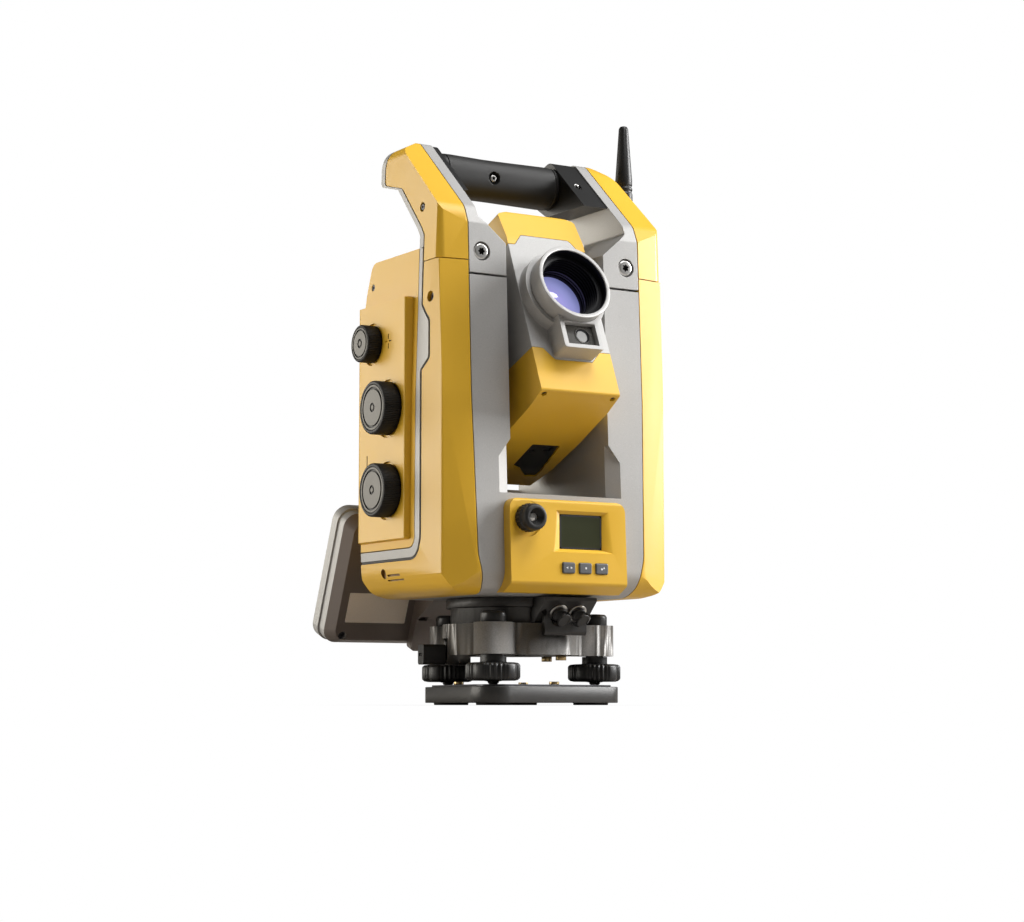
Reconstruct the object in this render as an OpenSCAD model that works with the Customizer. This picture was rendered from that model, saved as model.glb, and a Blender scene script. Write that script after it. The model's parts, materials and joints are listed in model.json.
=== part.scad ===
// Surveying total station on its levelling base, with a clip-on control unit.
// Frame: origin at the centre of the levelling base's underside, on the vertical axis, +Z up.
// The display side faces -Y, the adjusting knobs are on the -X side, the control unit is on the +Y side.

/* [Overall] */
// Height of the trunnion axis above the underside
trunnion_z = 248; // [248:0.5:250]
// Height at which the instrument seats in the levelling base
seat_z = 52; // [51:0.5:52]
// Angle of the sight line above the horizon at rest
elevation = 22; // [0:1:30]
// Backward lean of the front of the yoke
lean = 2.42; // [2:0.02:2.6]

/* [Yoke] */
// Half width of the grey yoke, up to the side covers
yoke_half = 68; // [66:0.5:70]
// Half width of the gap that the telescope turns in
pocket_half = 39; // [38:0.5:40]
// Height of the floor under the telescope
pocket_floor = 138.7; // [136:0.1:139]
// Wall thickness of the moulded covers
cover_wall = 3; // [2.5:0.1:3.5]
// Width of the visible gap between two covers
seam = 0.7; // [0.4:0.1:0.8]

/* [Knobs] */
// Radius of the two drive knobs
drive_knob_r = 18; // [16:0.5:19]
// Radius of the focus knob
focus_knob_r = 12.8; // [11:0.1:14]
// Reach of a drive knob beyond the raised panel
knob_reach = 12; // [9:0.5:14]

/* [Telescope] */
// Half width of the telescope housing
scope_half = 31; // [30:0.5:32]
// Distance of the telescope's front face from the trunnion axis
scope_front = 64.6; // [62:0.2:66]
// Outer radius of the objective barrel
objective_r = 27.5; // [26:0.5:28]

/* [Levelling base] */
// Distance of each foot screw from the vertical axis
foot_pitch = 60; // [60:0.5:62]
// Radius of a foot screw knob
foot_knob_r = 18.5; // [16:0.5:19]
// Direction of the first foot screw
foot_turn = -13.6; // [-20:0.1:0]
// Radius of the central tripod thread (5/8 inch)
tripod_r = 7.94; // [7.9:0.01:8]

/* [Control unit] */
// Width of the control unit
unit_w = 180; // [160:1:190]
// Height of the control unit
unit_h = 98; // [90:1:104]
// Tilt of the control unit from vertical
unit_tilt = 22; // [18:1:24]

/* [Hidden] */
$fn = 64;
arc_step = 11;
run = 0.05;
gap = 0.2;
yellow = [0.92, 0.71, 0.20];
grey = [0.66, 0.66, 0.65];
black = [0.08, 0.08, 0.08];
dark = [0.22, 0.22, 0.22];
steel = [0.72, 0.72, 0.74];
glass = [0.28, 0.26, 0.50];

// ---- outline helpers: a corner is [x, y, radius], listed counter-clockwise ----
function unit(v) = v / norm(v);
function point(p) = [p[0], p[1]];
function turned(v, a) = [v[0] * cos(a) - v[1] * sin(a), v[0] * sin(a) + v[1] * cos(a)];
function cross2(u, v) = u[0] * v[1] - u[1] * v[0];

// The arc that rounds corner b on the path a-b-c
function corner(a, b, c) =
    let (u = unit(point(a) - point(b)), v = unit(point(c) - point(b)), r = b[2])
    r < 0.05 ? [point(b)] :
    let (half = acos(u * v) / 2,
         centre = point(b) + unit(u + v) * r / sin(half),
         start = point(b) + u * r / tan(half) - centre,
         sweep = -sign(cross2(u, v)) * (180 - 2 * half),
         n = max(1, ceil(abs(sweep) / arc_step)))
    [for (i = [0:n]) centre + turned(start, sweep * i / n)];

function rounded(p) =
    let (n = len(p))
    [for (i = [0:n - 1]) each corner(p[(i + n - 1) % n], p[i], p[(i + 1) % n])];

// The outline moved inwards by d
function inset(p, d) =
    let (n = len(p))
    [for (i = [0:n - 1])
        let (a = point(p[(i + n - 1) % n]), b = point(p[i]), c = point(p[(i + 1) % n]),
             e = unit(b - a), f = unit(c - b),
             m = [-e[1], e[0]], k = [-f[1], f[0]],
             s = (m + k) * d / (1 + m * k),
             r = p[i][2] == 0 ? 0 : max(0, p[i][2] - sign(cross2(e, f)) * d))
        [b[0] + s[0], b[1] + s[1], r]];

// An outline given for x > 0, bottom to top, mirrored to both sides
function both_sides(p) =
    let (n = len(p))
    concat([for (i = [0:n - 1]) [p[i][0], p[i][1], p[i][2]]],
           [for (i = [n - 1:-1:0]) [-p[i][0], p[i][1], p[i][2]]]);

module outline(p, d = 0) {
    polygon(rounded(inset(p, d)));
}

// A (Y, z) outline drawn from x0 to x1
module along_x(p, x0, x1, d = 0) {
    translate([x0, 0, 0])
        rotate([90, 0, 90])
            linear_extrude(x1 - x0)
                outline(p, d);
}

// An (X, z) outline drawn from y0 to y1
module along_y(p, y0, y1, d = 0) {
    translate([0, y1, 0])
        rotate([90, 0, 0])
            linear_extrude(y1 - y0)
                outline(p, d);
}

// An (X, Y) outline drawn from z0 to z1
module along_z(p, z0, z1, d = 0) {
    translate([0, 0, z0])
        linear_extrude(z1 - z0)
            outline(p, d);
}

module block(x0, x1, y0, y1, z0, z1) {
    translate([x0, y0, z0])
        cube([x1 - x0, y1 - y0, z1 - z0]);
}

function box_outline(x0, x1, y0, y1, r = 0) = [[x0, y0, r], [x1, y0, r], [x1, y1, r], [x0, y1, r]];

// A round bar along +X, +Y or +Z from point p
module bar_x(p, r, len) {
    translate(p)
        rotate([0, 90, 0])
            cylinder(r = r, h = len);
}

module bar_y(p, r, len) {
    translate(p)
        rotate([-90, 0, 0])
            cylinder(r = r, h = len);
}

module bar_z(p, r, len) {
    translate(p)
        cylinder(r = r, h = len);
}

module ring_z(z0, z1, r_in, r_out) {
    difference() {
        bar_z([0, 0, z0], r_out, z1 - z0);
        bar_z([0, 0, z0 - 1], r_in, z1 - z0 + 2);
    }
}

module at_foot(i) {
    rotate([0, 0, foot_turn + 120 * i])
        translate([foot_pitch, 0, 0])
            children();
}

module both() {
    children();
    mirror([1, 0, 0])
        children();
}

// ---- the yoke's outer envelope ----
body_z = 72;
top_z = 302;
front_y = -65.2;
rear_y = 54;
cap_z = 292;
frame_z = 282.7;
side_x = 92.8;
body_side = [[front_y, body_z, 17], [50, body_z, 6], [rear_y, 100, 30], [rear_y, 235, 60],
             [44, 282, 25], [37, top_z, 8], [-55.4, top_z, 0]];
body_front = both_sides([[71, body_z, 12], [82, 75.5, 14], [89.5, 86, 16], [side_x, 112, 40],
                         [side_x - 0.5, 200, 0], [side_x - 3.5, top_z + 10, 0]]);
// seen from above: a shallow V at the front, with corners of the given radius
function lean_outline(r) = [[-89.5, -64.6, r], [0, -79.2, 0], [89.5, -64.6, r], [94.5, -25, 0], [94.5, 90, 0],
                            [-94.5, 90, 0], [-94.5, -25, 0]];
body_plan = [[-side_x - 0.4, -95, 0], [side_x + 0.4, -95, 0], [side_x + 0.4, rear_y + 0.2, 12],
             [-side_x - 0.4, rear_y + 0.2, 12]];

// the front corners stand upright
upright_plan = [[-88.3, -56.2, 2], [-yoke_half, -64, 0], [0, -90, 0], [yoke_half, -64, 0], [88.3, -56.2, 2],
                [94, -20, 0], [94, 90, 0], [-94, 90, 0], [-94, -20, 0]];
// the border between the grey yoke and the yellow covers
border = both_sides([[52, 60, 0], [60.5, 78, 14], [65.3, 98, 30], [yoke_half, 205, 0], [yoke_half, 430, 0]]);

module envelope(d = 0) {
    intersection() {
        along_x(body_side, -99, 99, d);
        along_y(body_front, -99, 99, d);
        along_z(body_plan, 40, 330, d);
        along_z(upright_plan, 30, 340, d);
        rotate([-lean, 0, 0])
            along_z(lean_outline(2), 20, 340, d);
    }
}

// ---- the carrying handle's outer envelope ----
handle_top = 385.6;
rear_strip = 5;
handle_side = [[-27.5, frame_z, 0], [-27.5, 310.5, 0], [-23.5, 316.5, 8], [5.5, 348, 4],
               [30, 354.5, 4], [30.4, 367, 5], [25.5, 381, 8], [12, handle_top, 9], [-49.6, 329.5, 13],
               [-54.6, 318, 4], [-56.2, frame_z, 0]];
handle_front = both_sides([[side_x - 2.4, 270, 0], [side_x - 4.8, 340, 60], [side_x - 6.5, 376, 10],
                           [yoke_half - 2, handle_top + 0.8, 12], [40, handle_top + 2, 0]]);

module handle_envelope(d = 0, side = handle_side) {
    intersection() {
        along_x(side, -99, 99, d);
        along_y(handle_front, -99, 99, d);
        rotate([-lean, 0, 0])
            along_z(lean_outline(7), 20, 420, d);
    }
}

// ---- regions of the left and right sides ----
strip_y = -27.7;
cover_floor = 103.5;
strip_floor = 97;
cover_edge = [[strip_y, cover_floor, 9], [90, cover_floor, 0], [90, 330, 0], [strip_y, 330, 0]];
strip_edge = [[-33.2, strip_floor, 14], [90, strip_floor, 0], [90, 330, 0], [-32.5, 330, 0], [-32.5, 263, 3],
              [-41.8, 252, 3], [-41.8, 227.5, 3], [-33.2, 220, 3]];

module side_prism(p, d = 0) {
    both()
        along_x(p, 40, 120, d);
}

module side_region(p, d = 0) {
    difference() {
        side_prism(p, d);
        along_y(border, -100, 100, -seam / 2);
    }
}

module left_half() {
    block(-130, 0, -150, 150, 0, 450);
}

module right_half() {
    block(0, 130, -150, 150, 0, 450);
}

module shell(d) {
    difference() {
        envelope();
        envelope(d);
    }
}

// ---- levelling base ----
base_h = 12.5;
spring_top = 13.7;
tribrach_low = 33.5;
tribrach_top = 54.5;
level_turn = 46.4;
level_r = 53;
lock_turn = 166.4;
corner_r = 16;

function tri(r, radius) =
    [for (i = [0:2])
        let (a = foot_turn + 120 * i)
        [r * cos(a), r * sin(a), radius]];

module base_plate() {
    color(black)
        difference() {
            union() {
                along_z(tri(foot_pitch + 2 * corner_r, corner_r), 1.5, base_h);
                for (i = [0:2])
                    at_foot(i)
                        bar_z([-3, 0, 0], 12, 2);
                bar_z([0, 0, 0], 17, 2);
            }
            bar_z([0, 0, -1], tripod_r, base_h + 2);
            ring_z(7, base_h + 1, 19, 30);
        }
}

module spring_plate() {
    color(steel)
        difference() {
            along_z(tri(foot_pitch + 2 * corner_r - 9, corner_r - 4), base_h, spring_top);
            bar_z([0, 0, base_h - 1], 33, 3);
            for (i = [0:2])
                rotate([0, 0, foot_turn + 120 * i + 60])
                    bar_z([38, 0, base_h - 1], 2.1, 3);
        }
}

module tribrach_body() {
    color(black)
        difference() {
            union() {
                rotate([0, 0, 80])
                    bar_z([0, 0, tribrach_low], 47.5, tribrach_top - tribrach_low);
                for (i = [0:2])
                    at_foot(i) {
                        bar_z([0, 0, tribrach_low], 13, tribrach_top - tribrach_low);
                        block(-22, 0, -12, 12, tribrach_low, tribrach_top);
                    }
                rotate([0, 0, level_turn]) {
                    bar_z([level_r, 0, tribrach_low + 6], 13, tribrach_top - tribrach_low - 6);
                    block(30, level_r, -11.5, 11.5, tribrach_low + 6, tribrach_top);
                }
                rotate([0, 0, lock_turn])
                    block(32, 48.5, -8, 8, 27, 45);
            }
            bar_z([0, 0, seat_z], 42.4, 10);
            bar_z([0, 0, 20], 20, 50);
            for (i = [0:2])
                at_foot(i)
                    bar_z([0, 0, 20], 6 + run, 50);
            for (i = [0:2])
                rotate([0, 0, foot_turn + 60 + 120 * i])
                    bar_z([30, 0, 40], 4 + run, 20);
            rotate([0, 0, level_turn])
                bar_z([level_r, 0, 49], 9.2, 20);
            rotate([0, 0, lock_turn])
                bar_x([38, 0, 34], 3 + run, 20);
        }
}

module tribrach_screws() {
    color(steel) {
        for (i = [0:2])
            rotate([0, 0, foot_turn + 120 * i + 60])
                translate([38, 0, 0])
                    difference() {
                        union() {
                            bar_z([0, 0, spring_top], 3.4, 2);
                            bar_z([0, 0, base_h], 2, 1.3);
                        }
                        block(-4, 4, -0.4, 0.4, spring_top + 1.2, spring_top + 3);
                    }
        // adjusting nuts under the body
        for (a = [-64, 20])
            rotate([0, 0, a])
                difference() {
                    bar_z([39, 0, tribrach_low - 3.5], 3.6, 3.5);
                    bar_z([39, 0, tribrach_low - 4], 1.4, 2.5);
                }
    }
}

module circular_level() {
    color(steel)
        rotate([0, 0, level_turn])
            translate([level_r, 0, 49])
                rotate_extrude()
                    polygon([[0, 0], [9, 0], [9, 7.5], [8.2, 8.5], [7, 8.5], [6.2, 7.4], [0, 7.9]]);
}

module screw_caps() {
    color(black)
        for (i = [0:2])
            at_foot(i)
                translate([0, 0, tribrach_top])
                    rotate_extrude()
                        polygon([[6.3, 0], [8.6, 0], [8.6, 6], [7.4, 7.6], [2, 8], [0, 8], [0, 5.5],
                                 [6.3, 5.5]]);
}

module foot_screw(i) {
    flutes = 10;
    color(black)
        at_foot(i) {
            difference() {
                union() {
                    bar_z([0, 0, 16], foot_knob_r, 12);
                    bar_z([0, 0, 27], 8.7, tribrach_low - 0.3 - 27);
                    bar_z([0, 0, 27], 6, 27);
                    bar_z([0, 0, spring_top + 0.05], 4.2, 3);
                }
                for (k = [0:flutes - 1])
                    rotate([0, 0, 360 / flutes * k])
                        bar_z([foot_knob_r + 1.6, 0, 15], 3.2, 20);
                translate([0, 0, 15.9])
                    difference() {
                        bar_z([0, 0, 0], foot_knob_r + 1, 2);
                        translate([0, 0, -0.1])
                            cylinder(r1 = foot_knob_r - 2.1, r2 = foot_knob_r + 0.1, h = 2.2);
                    }
            }
        }
}

module lock_knob() {
    color(black)
        rotate([0, 0, lock_turn])
            difference() {
                union() {
                    along_x(box_outline(-6.8, 6.8, 27.2, 40.8, 2), 49, 65);
                    bar_x([40, 0, 34], 3, 10);
                }
                block(63.8, 66, -5, 5, 33.2, 34.8);
            }
}

// ---- fixed instrument base ----
base_top = body_z - 0.3;

module instrument_base() {
    color(black)
        difference() {
            union() {
                bar_z([0, 0, seat_z], 42, 15);
                bar_z([0, 0, 65.3], 45, base_top - 65.3);
                for (i = [0:2])
                    rotate([0, 0, foot_turn + 60 + 120 * i])
                        bar_z([30, 0, 42], 4, 12);
            }
            bar_z([0, 0, 40], 14 + run, 50);
            bar_z([0, 0, 56], 22 + run, 4);
            block(-10 - gap, 31 + gap, -50, -36 + gap, 54, 80);
        }
}

module spindle() {
    color(steel)
        difference() {
            union() {
                bar_z([0, 0, 54], 14, 64);
                bar_z([0, 0, 56], 22, 4);
            }
            bar_z([0, 0, 53], 6, 80);
        }
}

port_x = [4.5, 19.5];

// on the connector block's sloping face
module at_port(x) {
    translate([x, -51, 62])
        rotate([135, 0, 0])
            children();
}

module connector_block() {
    color(black)
        difference() {
            union() {
                along_x([[-36, 55, 0], [-36, base_top - 0.2, 0], [-58.2, base_top - 0.2, 0], [-58.2, 69.2, 0],
                         [-44, 55, 0]], -10, 31);
                along_x([[-48, 46.5, 0], [-48, 62, 0], [-51.4, 62, 0], [-51.4, 48.5, 1.4], [-50, 46.5, 0]],
                        -6, 27);
            }
            for (x = port_x)
                at_port(x) {
                    bar_z([0, 0, -6], 5 + run, 20);
                    bar_z([0, 0, 0], 6.6 + gap, 14);
                }
            at_port(-6.5)
                bar_z([0, 0, -2], 2, 20);
        }
}

module connector_sockets() {
    color(steel)
        for (x = port_x)
            at_port(x)
                difference() {
                    union() {
                        bar_z([0, 0, -5], 5, 6);
                        bar_z([0, 0, 0.05], 6.6, 1.2);
                    }
                    bar_z([0, 0, -3], 4, 10);
                }
}

module connector_caps() {
    color(black)
        for (x = port_x)
            at_port(x) {
                bar_z([0, 0, -2.5], 3.9, 4);
                bar_z([0, 0, 1.3], 6.2, 2.4);
            }
    // straps that end in hanging discs
    color(black)
        for (x = port_x) {
            along_x([[-54.2, 50, 0], [-54.2, 56, 0], [-52.5, 58, 0], [-54.5, 60.5, 0], [-56, 57.5, 0],
                     [-56, 50, 0]], x - 2.2, x + 2.2);
            bar_y([x, -56, 50], 5.8, 1.8);
        }
}

// ---- turning yoke ----
arm_wall = 6;
arm_cavity_x = 46;
bearing_r = 23;

module pocket() {
    // the floor rises towards the back
    along_x([[-99, pocket_floor, 0], [20, pocket_floor, 30], [99, 172, 0], [99, 340, 0], [-99, 340, 0]],
            -pocket_half, pocket_half);
    // wider mouth at the foot of the front opening
    both()
        intersection() {
            rotate([-lean, 0, 0])
                along_z([[38, -80, 0], [69.3, -80, 0], [pocket_half, -63, 0], [38, -63, 0]], 60, 300);
            along_y([[38, pocket_floor + 0.05, 0], [52.5, pocket_floor + 0.05, 3], [52.5, 157, 0],
                     [38, 176, 0]], -90, -40);
        }
}

module yoke_casting() {
    color(grey)
        difference() {
            intersection() {
                envelope();
                along_y(border, -99, 99, seam / 2);
            }
            pocket();
            // seat of the carrying handle
            block(-99, 99, -99, -27, frame_z, 340);
            // hollow arms, open towards the covers
            both()
                intersection() {
                    envelope(arm_wall);
                    block(arm_cavity_x, 99, -99, 99, 86, 330);
                }
            // hollow foot around the bearing
            difference() {
                intersection() {
                    envelope(arm_wall);
                    block(-99, 99, -99, 99, 86, pocket_floor - 6);
                }
                bar_z([0, 0, 60], 26, 70);
            }
            bar_z([0, 0, 60], 20 + run, 66.5);
            bar_z([0, 0, 60], 38, 81 - 60);
            // trunnion bearings
            bar_x([-99, 0, trunnion_z], bearing_r + run, 198);
            // room behind the display
            block(-42, 42, -80, -50, 84, 128);
        }
}

module azimuth_bearing() {
    color(steel)
        ring_z(82, 124, 14 + run, 20);
}

module azimuth_drive() {
    color(dark)
        ring_z(body_z + 0.3, 80.8, 24, 37.6);
}

module main_board() {
    color([0.10, 0.30, 0.16])
        block(-58, 58, 34, 35.6, 90, 128);
}

module trunnion_bearings() {
    color(steel)
        both()
            difference() {
                bar_x([pocket_half + 0.5, 0, trunnion_z], bearing_r, 9);
                bar_x([30, 0, trunnion_z], 17 + run, 40);
            }
}

module side_front_cover() {
    difference() {
        intersection() {
            shell(cover_wall);
            side_region(box_outline(-99, 99, 60, cap_z));
        }
        side_prism(strip_edge, -1.9);
        // screw hole
        bar_x([-120, -43.6, 267.5], 3.6, 240);
    }
}

module left_cover() {
    color(yellow)
        difference() {
            intersection() {
                side_front_cover();
                left_half();
            }
            // tether anchor in the foot of the cover
            bar_x([-99, 19.5, 87.6], 3.3, 11.5);
            along_x(box_outline(-2, 15, 85.6, 87, 0.6), -99, -87.8);
            along_x(box_outline(-5, 17, 82.6, 83.6, 0.4), -99, -86);
        }
}

module right_cover() {
    color(yellow)
        intersection() {
            side_front_cover();
            right_half();
        }
}

panel_x = 97;
panel_front = -22.4;
panel_low = 110;
panel_high = 270.5;
panel_plan = [[-91, panel_front, 0], [-80, panel_front, 0], [-80, rear_y - 1, 0], [-87, rear_y - 1, 0],
              [-panel_x, 43, 7], [-panel_x, panel_front + 0.8, 1.2]];
panel_face = [[-panel_x - 9, panel_low + 1, 0], [-91, panel_low - 1.5, 0], [-60, panel_low - 1.5, 0],
              [-60, panel_high + 0.5, 0], [-91, panel_high + 0.5, 0], [-panel_x - 9, panel_high - 2, 0]];
knob_places = [[23.5, 243.5, focus_knob_r], [1.5, 197.4, drive_knob_r], [1.5, 142.2, drive_knob_r]];

module panel_block(d = 0) {
    intersection() {
        along_z(panel_plan, panel_low - 6, panel_high + 6, d);
        along_y(panel_face, -99, 99, d);
        along_x(box_outline(panel_front - 0.1, rear_y + 20, panel_low - 1.4, panel_high + 0.4, 4),
                -120, -60, d);
    }
}

module drive_cover() {
    color(yellow)
        difference() {
            union() {
                intersection() {
                    shell(cover_wall);
                    side_region(cover_edge);
                    left_half();
                }
                difference() {
                    panel_block();
                    panel_block(cover_wall);
                    intersection() {
                        envelope(cover_wall);
                        left_half();
                    }
                }
            }
            // the panel is hollow behind
            intersection() {
                panel_block(cover_wall);
                block(-panel_x + cover_wall, -60, -99, 99, 60, 330);
            }
            for (k = knob_places) {
                bar_x([-panel_x - 5, k[0], k[1]], k[2] + 1.6, 7);
            }
            bar_x([-120, 35.5, 285], 2.4, 50);
            // marks beside the knobs
            for (y = [-3.2, 2])
                block(-panel_x - 1, -panel_x + 1, y, y + 3.2, 242.5, 243.5);
            for (z = [238, 244.5])
                block(-panel_x - 1, -panel_x + 1, 0.5, 1.5, z, z + 3.5);
            block(-panel_x - 1, -panel_x + 1, 29.4, 30.6, 157, 168);
            for (k = knob_places)
                bar_x([-110, k[0], k[1]], 4 + run, 60);
        }
    color(yellow)
        difference() {
            for (k = knob_places)
                bar_x([-panel_x + 2, k[0], k[1]], k[2] + 3.6, 2.5);
            for (k = knob_places)
                bar_x([-110, k[0], k[1]], 4 + run, 60);
        }
}

module knob(k, reach) {
    flutes = 30;
    color(black)
        translate([-panel_x + 2, k[0], k[1]])
            rotate([0, -90, 0])
                difference() {
                    union() {
                        bar_z([0, 0, 0.3], k[2], reach + 1.7);
                        bar_z([0, 0, -14], 4, 16);
                        bar_z([0, 0, -14], 7, 8);
                    }
                    for (i = [0:flutes - 1])
                        rotate([0, 0, 360 / flutes * i])
                            bar_z([k[2] + 0.45, 0, -1], 0.9, reach + 4);
                    translate([0, 0, reach + 1.2])
                        difference() {
                            bar_z([0, 0, 0], k[2] - 2.4, 2);
                            bar_z([0, 0, -1], k[2] - 3.4, 4);
                        }
                    bar_z([0, 0, reach], 1.5, 4);
                }
}

module focus_knob() {
    knob(knob_places[0], 10);
}

module vertical_knob() {
    knob(knob_places[1], knob_reach);
}

module horizontal_knob() {
    knob(knob_places[2], knob_reach);
}

// battery side: a deeper housing with a door hinged at its foot
housing_x = 104.5;
housing_plan = [[80, -22, 0], [93, -22, 0], [housing_x, -14, 4], [housing_x, 40, 9], [88, rear_y - 1, 0],
                [80, rear_y - 1, 0]];
housing_face = [[60, cover_floor, 0], [90, cover_floor, 0], [housing_x + 9, panel_low + 15, 0],
                [housing_x + 9, 289, 0], [93, 300.5, 0], [60, 300.5, 0]];
// square at the hinge, so that the door's foot can swing past the rim
door_edge = [[-9, 122, 0.5], [36, 122, 0.5], [36, 232, 5], [-9, 232, 5]];
antenna_x = 97.2;

module housing_block(d = 0) {
    intersection() {
        along_z(housing_plan, 100, 310, d);
        along_y(housing_face, -99, 99, d);
    }
}

module battery_cover() {
    color(yellow)
        difference() {
            union() {
                intersection() {
                    shell(cover_wall);
                    side_region(cover_edge);
                    right_half();
                }
                difference() {
                    housing_block();
                    housing_block(cover_wall);
                    intersection() {
                        envelope(cover_wall);
                        right_half();
                    }
                }
                // antenna seat
                bar_z([antenna_x, 4, 280], 6.4, 20);
            }
            intersection() {
                housing_block(cover_wall);
                block(60, housing_x - cover_wall, -99, 99, 60, 278);
            }
            along_x(door_edge, 60, 120, -seam);
            bar_z([antenna_x, 4, 288], 3 + run, 20);
            bar_z([antenna_x, 4, 300.5], 8 + gap, 10);
            bar_x([90, 35.5, 285], 2.4, 50);
        }
}

door_hinge = [housing_x - 1.6, 123.7];

module battery_door() {
    color(yellow)
        difference() {
            union() {
                intersection() {
                    along_x(door_edge, housing_x - 3, housing_x);
                    block(60, 130, -99, 99, door_hinge[1], 300);
                }
                bar_y([door_hinge[0], -3, door_hinge[1]], 1.6, 33);
            }
            // finger recess
            bar_x([housing_x - 1.4, 13.5, 222], 6, 5);
        }
}

module battery() {
    color(dark)
        along_x(box_outline(-7, 34, 132, 228, 3), 76, housing_x - 5);
}

module seam_strips() {
    color(grey)
        difference() {
            intersection() {
                shell(cover_wall + 1);
                side_region(strip_edge);
                block(-130, 130, -99, 99, 60, top_z - 0.5);
            }
            side_prism(cover_edge, -seam);
        }
    color(grey)
        both()
            intersection() {
                difference() {
                    handle_envelope();
                    handle_envelope(cover_wall);
                }
                handle_back();
                block(yoke_half + seam / 2, 99, -99, 99, top_z + 0.3, 420);
            }
}

module cover_gaskets() {
    color(black) {
        difference() {
            intersection() {
                envelope(0.7);
                side_region(strip_edge, -1.7);
                block(-130, 130, -99, 99, 60, cap_z);
            }
            envelope(cover_wall);
            side_prism(strip_edge, -0.1);
        }
        both()
            difference() {
                intersection() {
                    handle_envelope(0.7);
                    handle_back(1.2);
                    block(yoke_half + seam / 2, 99, -99, 99, cap_z + seam, 420);
                }
                handle_envelope(cover_wall);
                handle_back(0.1);
            }
    }
}

// ---- display side ----
panel_half = 45.5;
panel_top = 135;
panel_side = [[-73.2, 79, 3], [-63, 73.4, 2], [-50, 73.4, 0], [-50, panel_top, 0], [-70.6, panel_top, 2.5]];
screen = [-4.9, 26.7, 103.6, 124.8];
bevel = [-12.3, 34.8, 100.4, 129.4];
key_x = [-1.2, 11.9, 25];
key_z = 90;
plummet = [-32.6, 121.8];

module display_panel() {
    color(yellow)
        difference() {
            intersection() {
                along_x(panel_side, -panel_half, panel_half);
                along_y([[-panel_half, 60, 0], [panel_half, 60, 0], [panel_half, panel_top, 7],
                         [-panel_half, panel_top, 7]], -99, -40);
            }
            envelope(-0.1);
            // sunken screen with bevelled edges
            hull() {
                block(bevel[0], bevel[1], -80, -79, bevel[2], bevel[3]);
                block(bevel[0], bevel[1], -73, -72.2, bevel[2], bevel[3]);
                block(screen[0] - 1, screen[1] + 1, -69.6, -69, screen[2] - 1, screen[3] + 1);
            }
            block(screen[0] - 1, screen[1] + 1, -72, -68, screen[2] - 1, screen[3] + 1);
            for (x = key_x)
                along_y(box_outline(x - 5.1, x + 5.1, key_z - 3.8, key_z + 3.8, 1.2), -80, -40);
            bar_y([plummet[0], -78, plummet[1]], 12.2, 7.5);
            bar_y([plummet[0], -78, plummet[1]], 6 + run, 40);
        }
}

module display_glass() {
    color([0.16, 0.18, 0.10])
        block(screen[0] - 0.8, screen[1] + 0.8, -69, -68.05, screen[2] - 0.8, screen[3] + 0.8);
}

module panel_key(x) {
    color(dark)
        along_y(box_outline(x - 4.9, x + 4.9, key_z - 3.6, key_z + 3.6, 1.1), -73.9, -67);
}

module plummet_tube() {
    color(dark)
        difference() {
            bar_y([plummet[0], -74, plummet[1]], 6, 30);
            bar_y([plummet[0], -80, plummet[1]], 4.5, 14);
        }
}

module plummet_ring() {
    flutes = 18;
    color(black)
        difference() {
            union() {
                bar_y([plummet[0], -80, plummet[1]], 9.4, 9);
                bar_y([plummet[0], -83.5, plummet[1]], 8.6, 4);
            }
            for (i = [0:flutes - 1])
                translate([plummet[0], 0, plummet[1]])
                    rotate([0, 360 / flutes * i, 0])
                        bar_y([9.9, -78, 0], 0.9, 5);
            bar_y([plummet[0], -74.05, plummet[1]], 6 + run, 20);
            bar_y([plummet[0], -84, plummet[1]], 2.6, 20);
        }
}

// ---- carrying handle ----
// everything behind the yellow caps' rear edge, moved forward by ahead
module handle_back(ahead = 0) {
    difference() {
        block(-130, 130, -99, 99, 200, 450);
        along_x([for (p = handle_side) [p[0] - rear_strip - ahead, p[1], p[2]]], -130, 130);
        block(-130, 130, -99, -36, 200, 450);
    }
}

leg_in = 59;
block_z = 345;
// the inner frame reaches further back than the caps
frame_side = [[-27.5, frame_z, 0], [-27.5, 303.5, 0], [-8, 316, 8], [17, 344, 4], [30, 352, 2], [30.4, 367, 5],
              [25.5, 381, 8], [12, handle_top, 9], [-49.6, 329.5, 13], [-54.6, 318, 4], [-56.2, frame_z, 0]];

module handle_frame() {
    color(grey)
        both()
            difference() {
                intersection() {
                    handle_envelope(0, frame_side);
                    block(pocket_half, yoke_half - seam / 2, -99, 99, frame_z + 1.5, 420);
                }
                // slimmer upper leg with a gusset
                along_y([[20, 306, 0], [pocket_half, 306, 0], [leg_in, 323, 3], [leg_in, 500, 0],
                         [20, 500, 0]], -99, 99);
                // screw recess
                bar_y([57.8, -70, 299], 6.4, 18);
                bar_y([57.8, -70, 299], 3 + run, 60);
            }
}

module handle_caps() {
    color(yellow)
        both()
            difference() {
                intersection() {
                    difference() {
                        handle_envelope();
                        handle_envelope(cover_wall);
                    }
                    block(yoke_half + seam / 2, 130, -99, 99, cap_z + seam, 450);
                }
                handle_back(1.3);
                bar_x([70, -29.5, 330], 3.3, 40);
            }
}

module handle_screws() {
    color(steel) {
        both()
            difference() {
                union() {
                    bar_y([57.8, -55.2, 299], 5.6, 3.15);
                    bar_y([57.8, -54, 299], 3, 24);
                }
                for (i = [0:2])
                    translate([57.8, -56, 299])
                        rotate([0, 60 * i, 0])
                            block(-2.4, 2.4, 0, 2.8, -0.7, 0.7);
            }
    }
}

grip_left = -53.8;
grip_right = 39.2;
grip_section = box_outline(-1, 29, 349.5, 379.4, 13);

module grip() {
    color(black)
        difference() {
            along_x(grip_section, grip_left, grip_right);
            along_x(box_outline(9, 19, 360, 370, 3), -60, 60);
            // screw recess
            bar_y([-14.4, -6, 364], 4.4, 8);
        }
}

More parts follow.
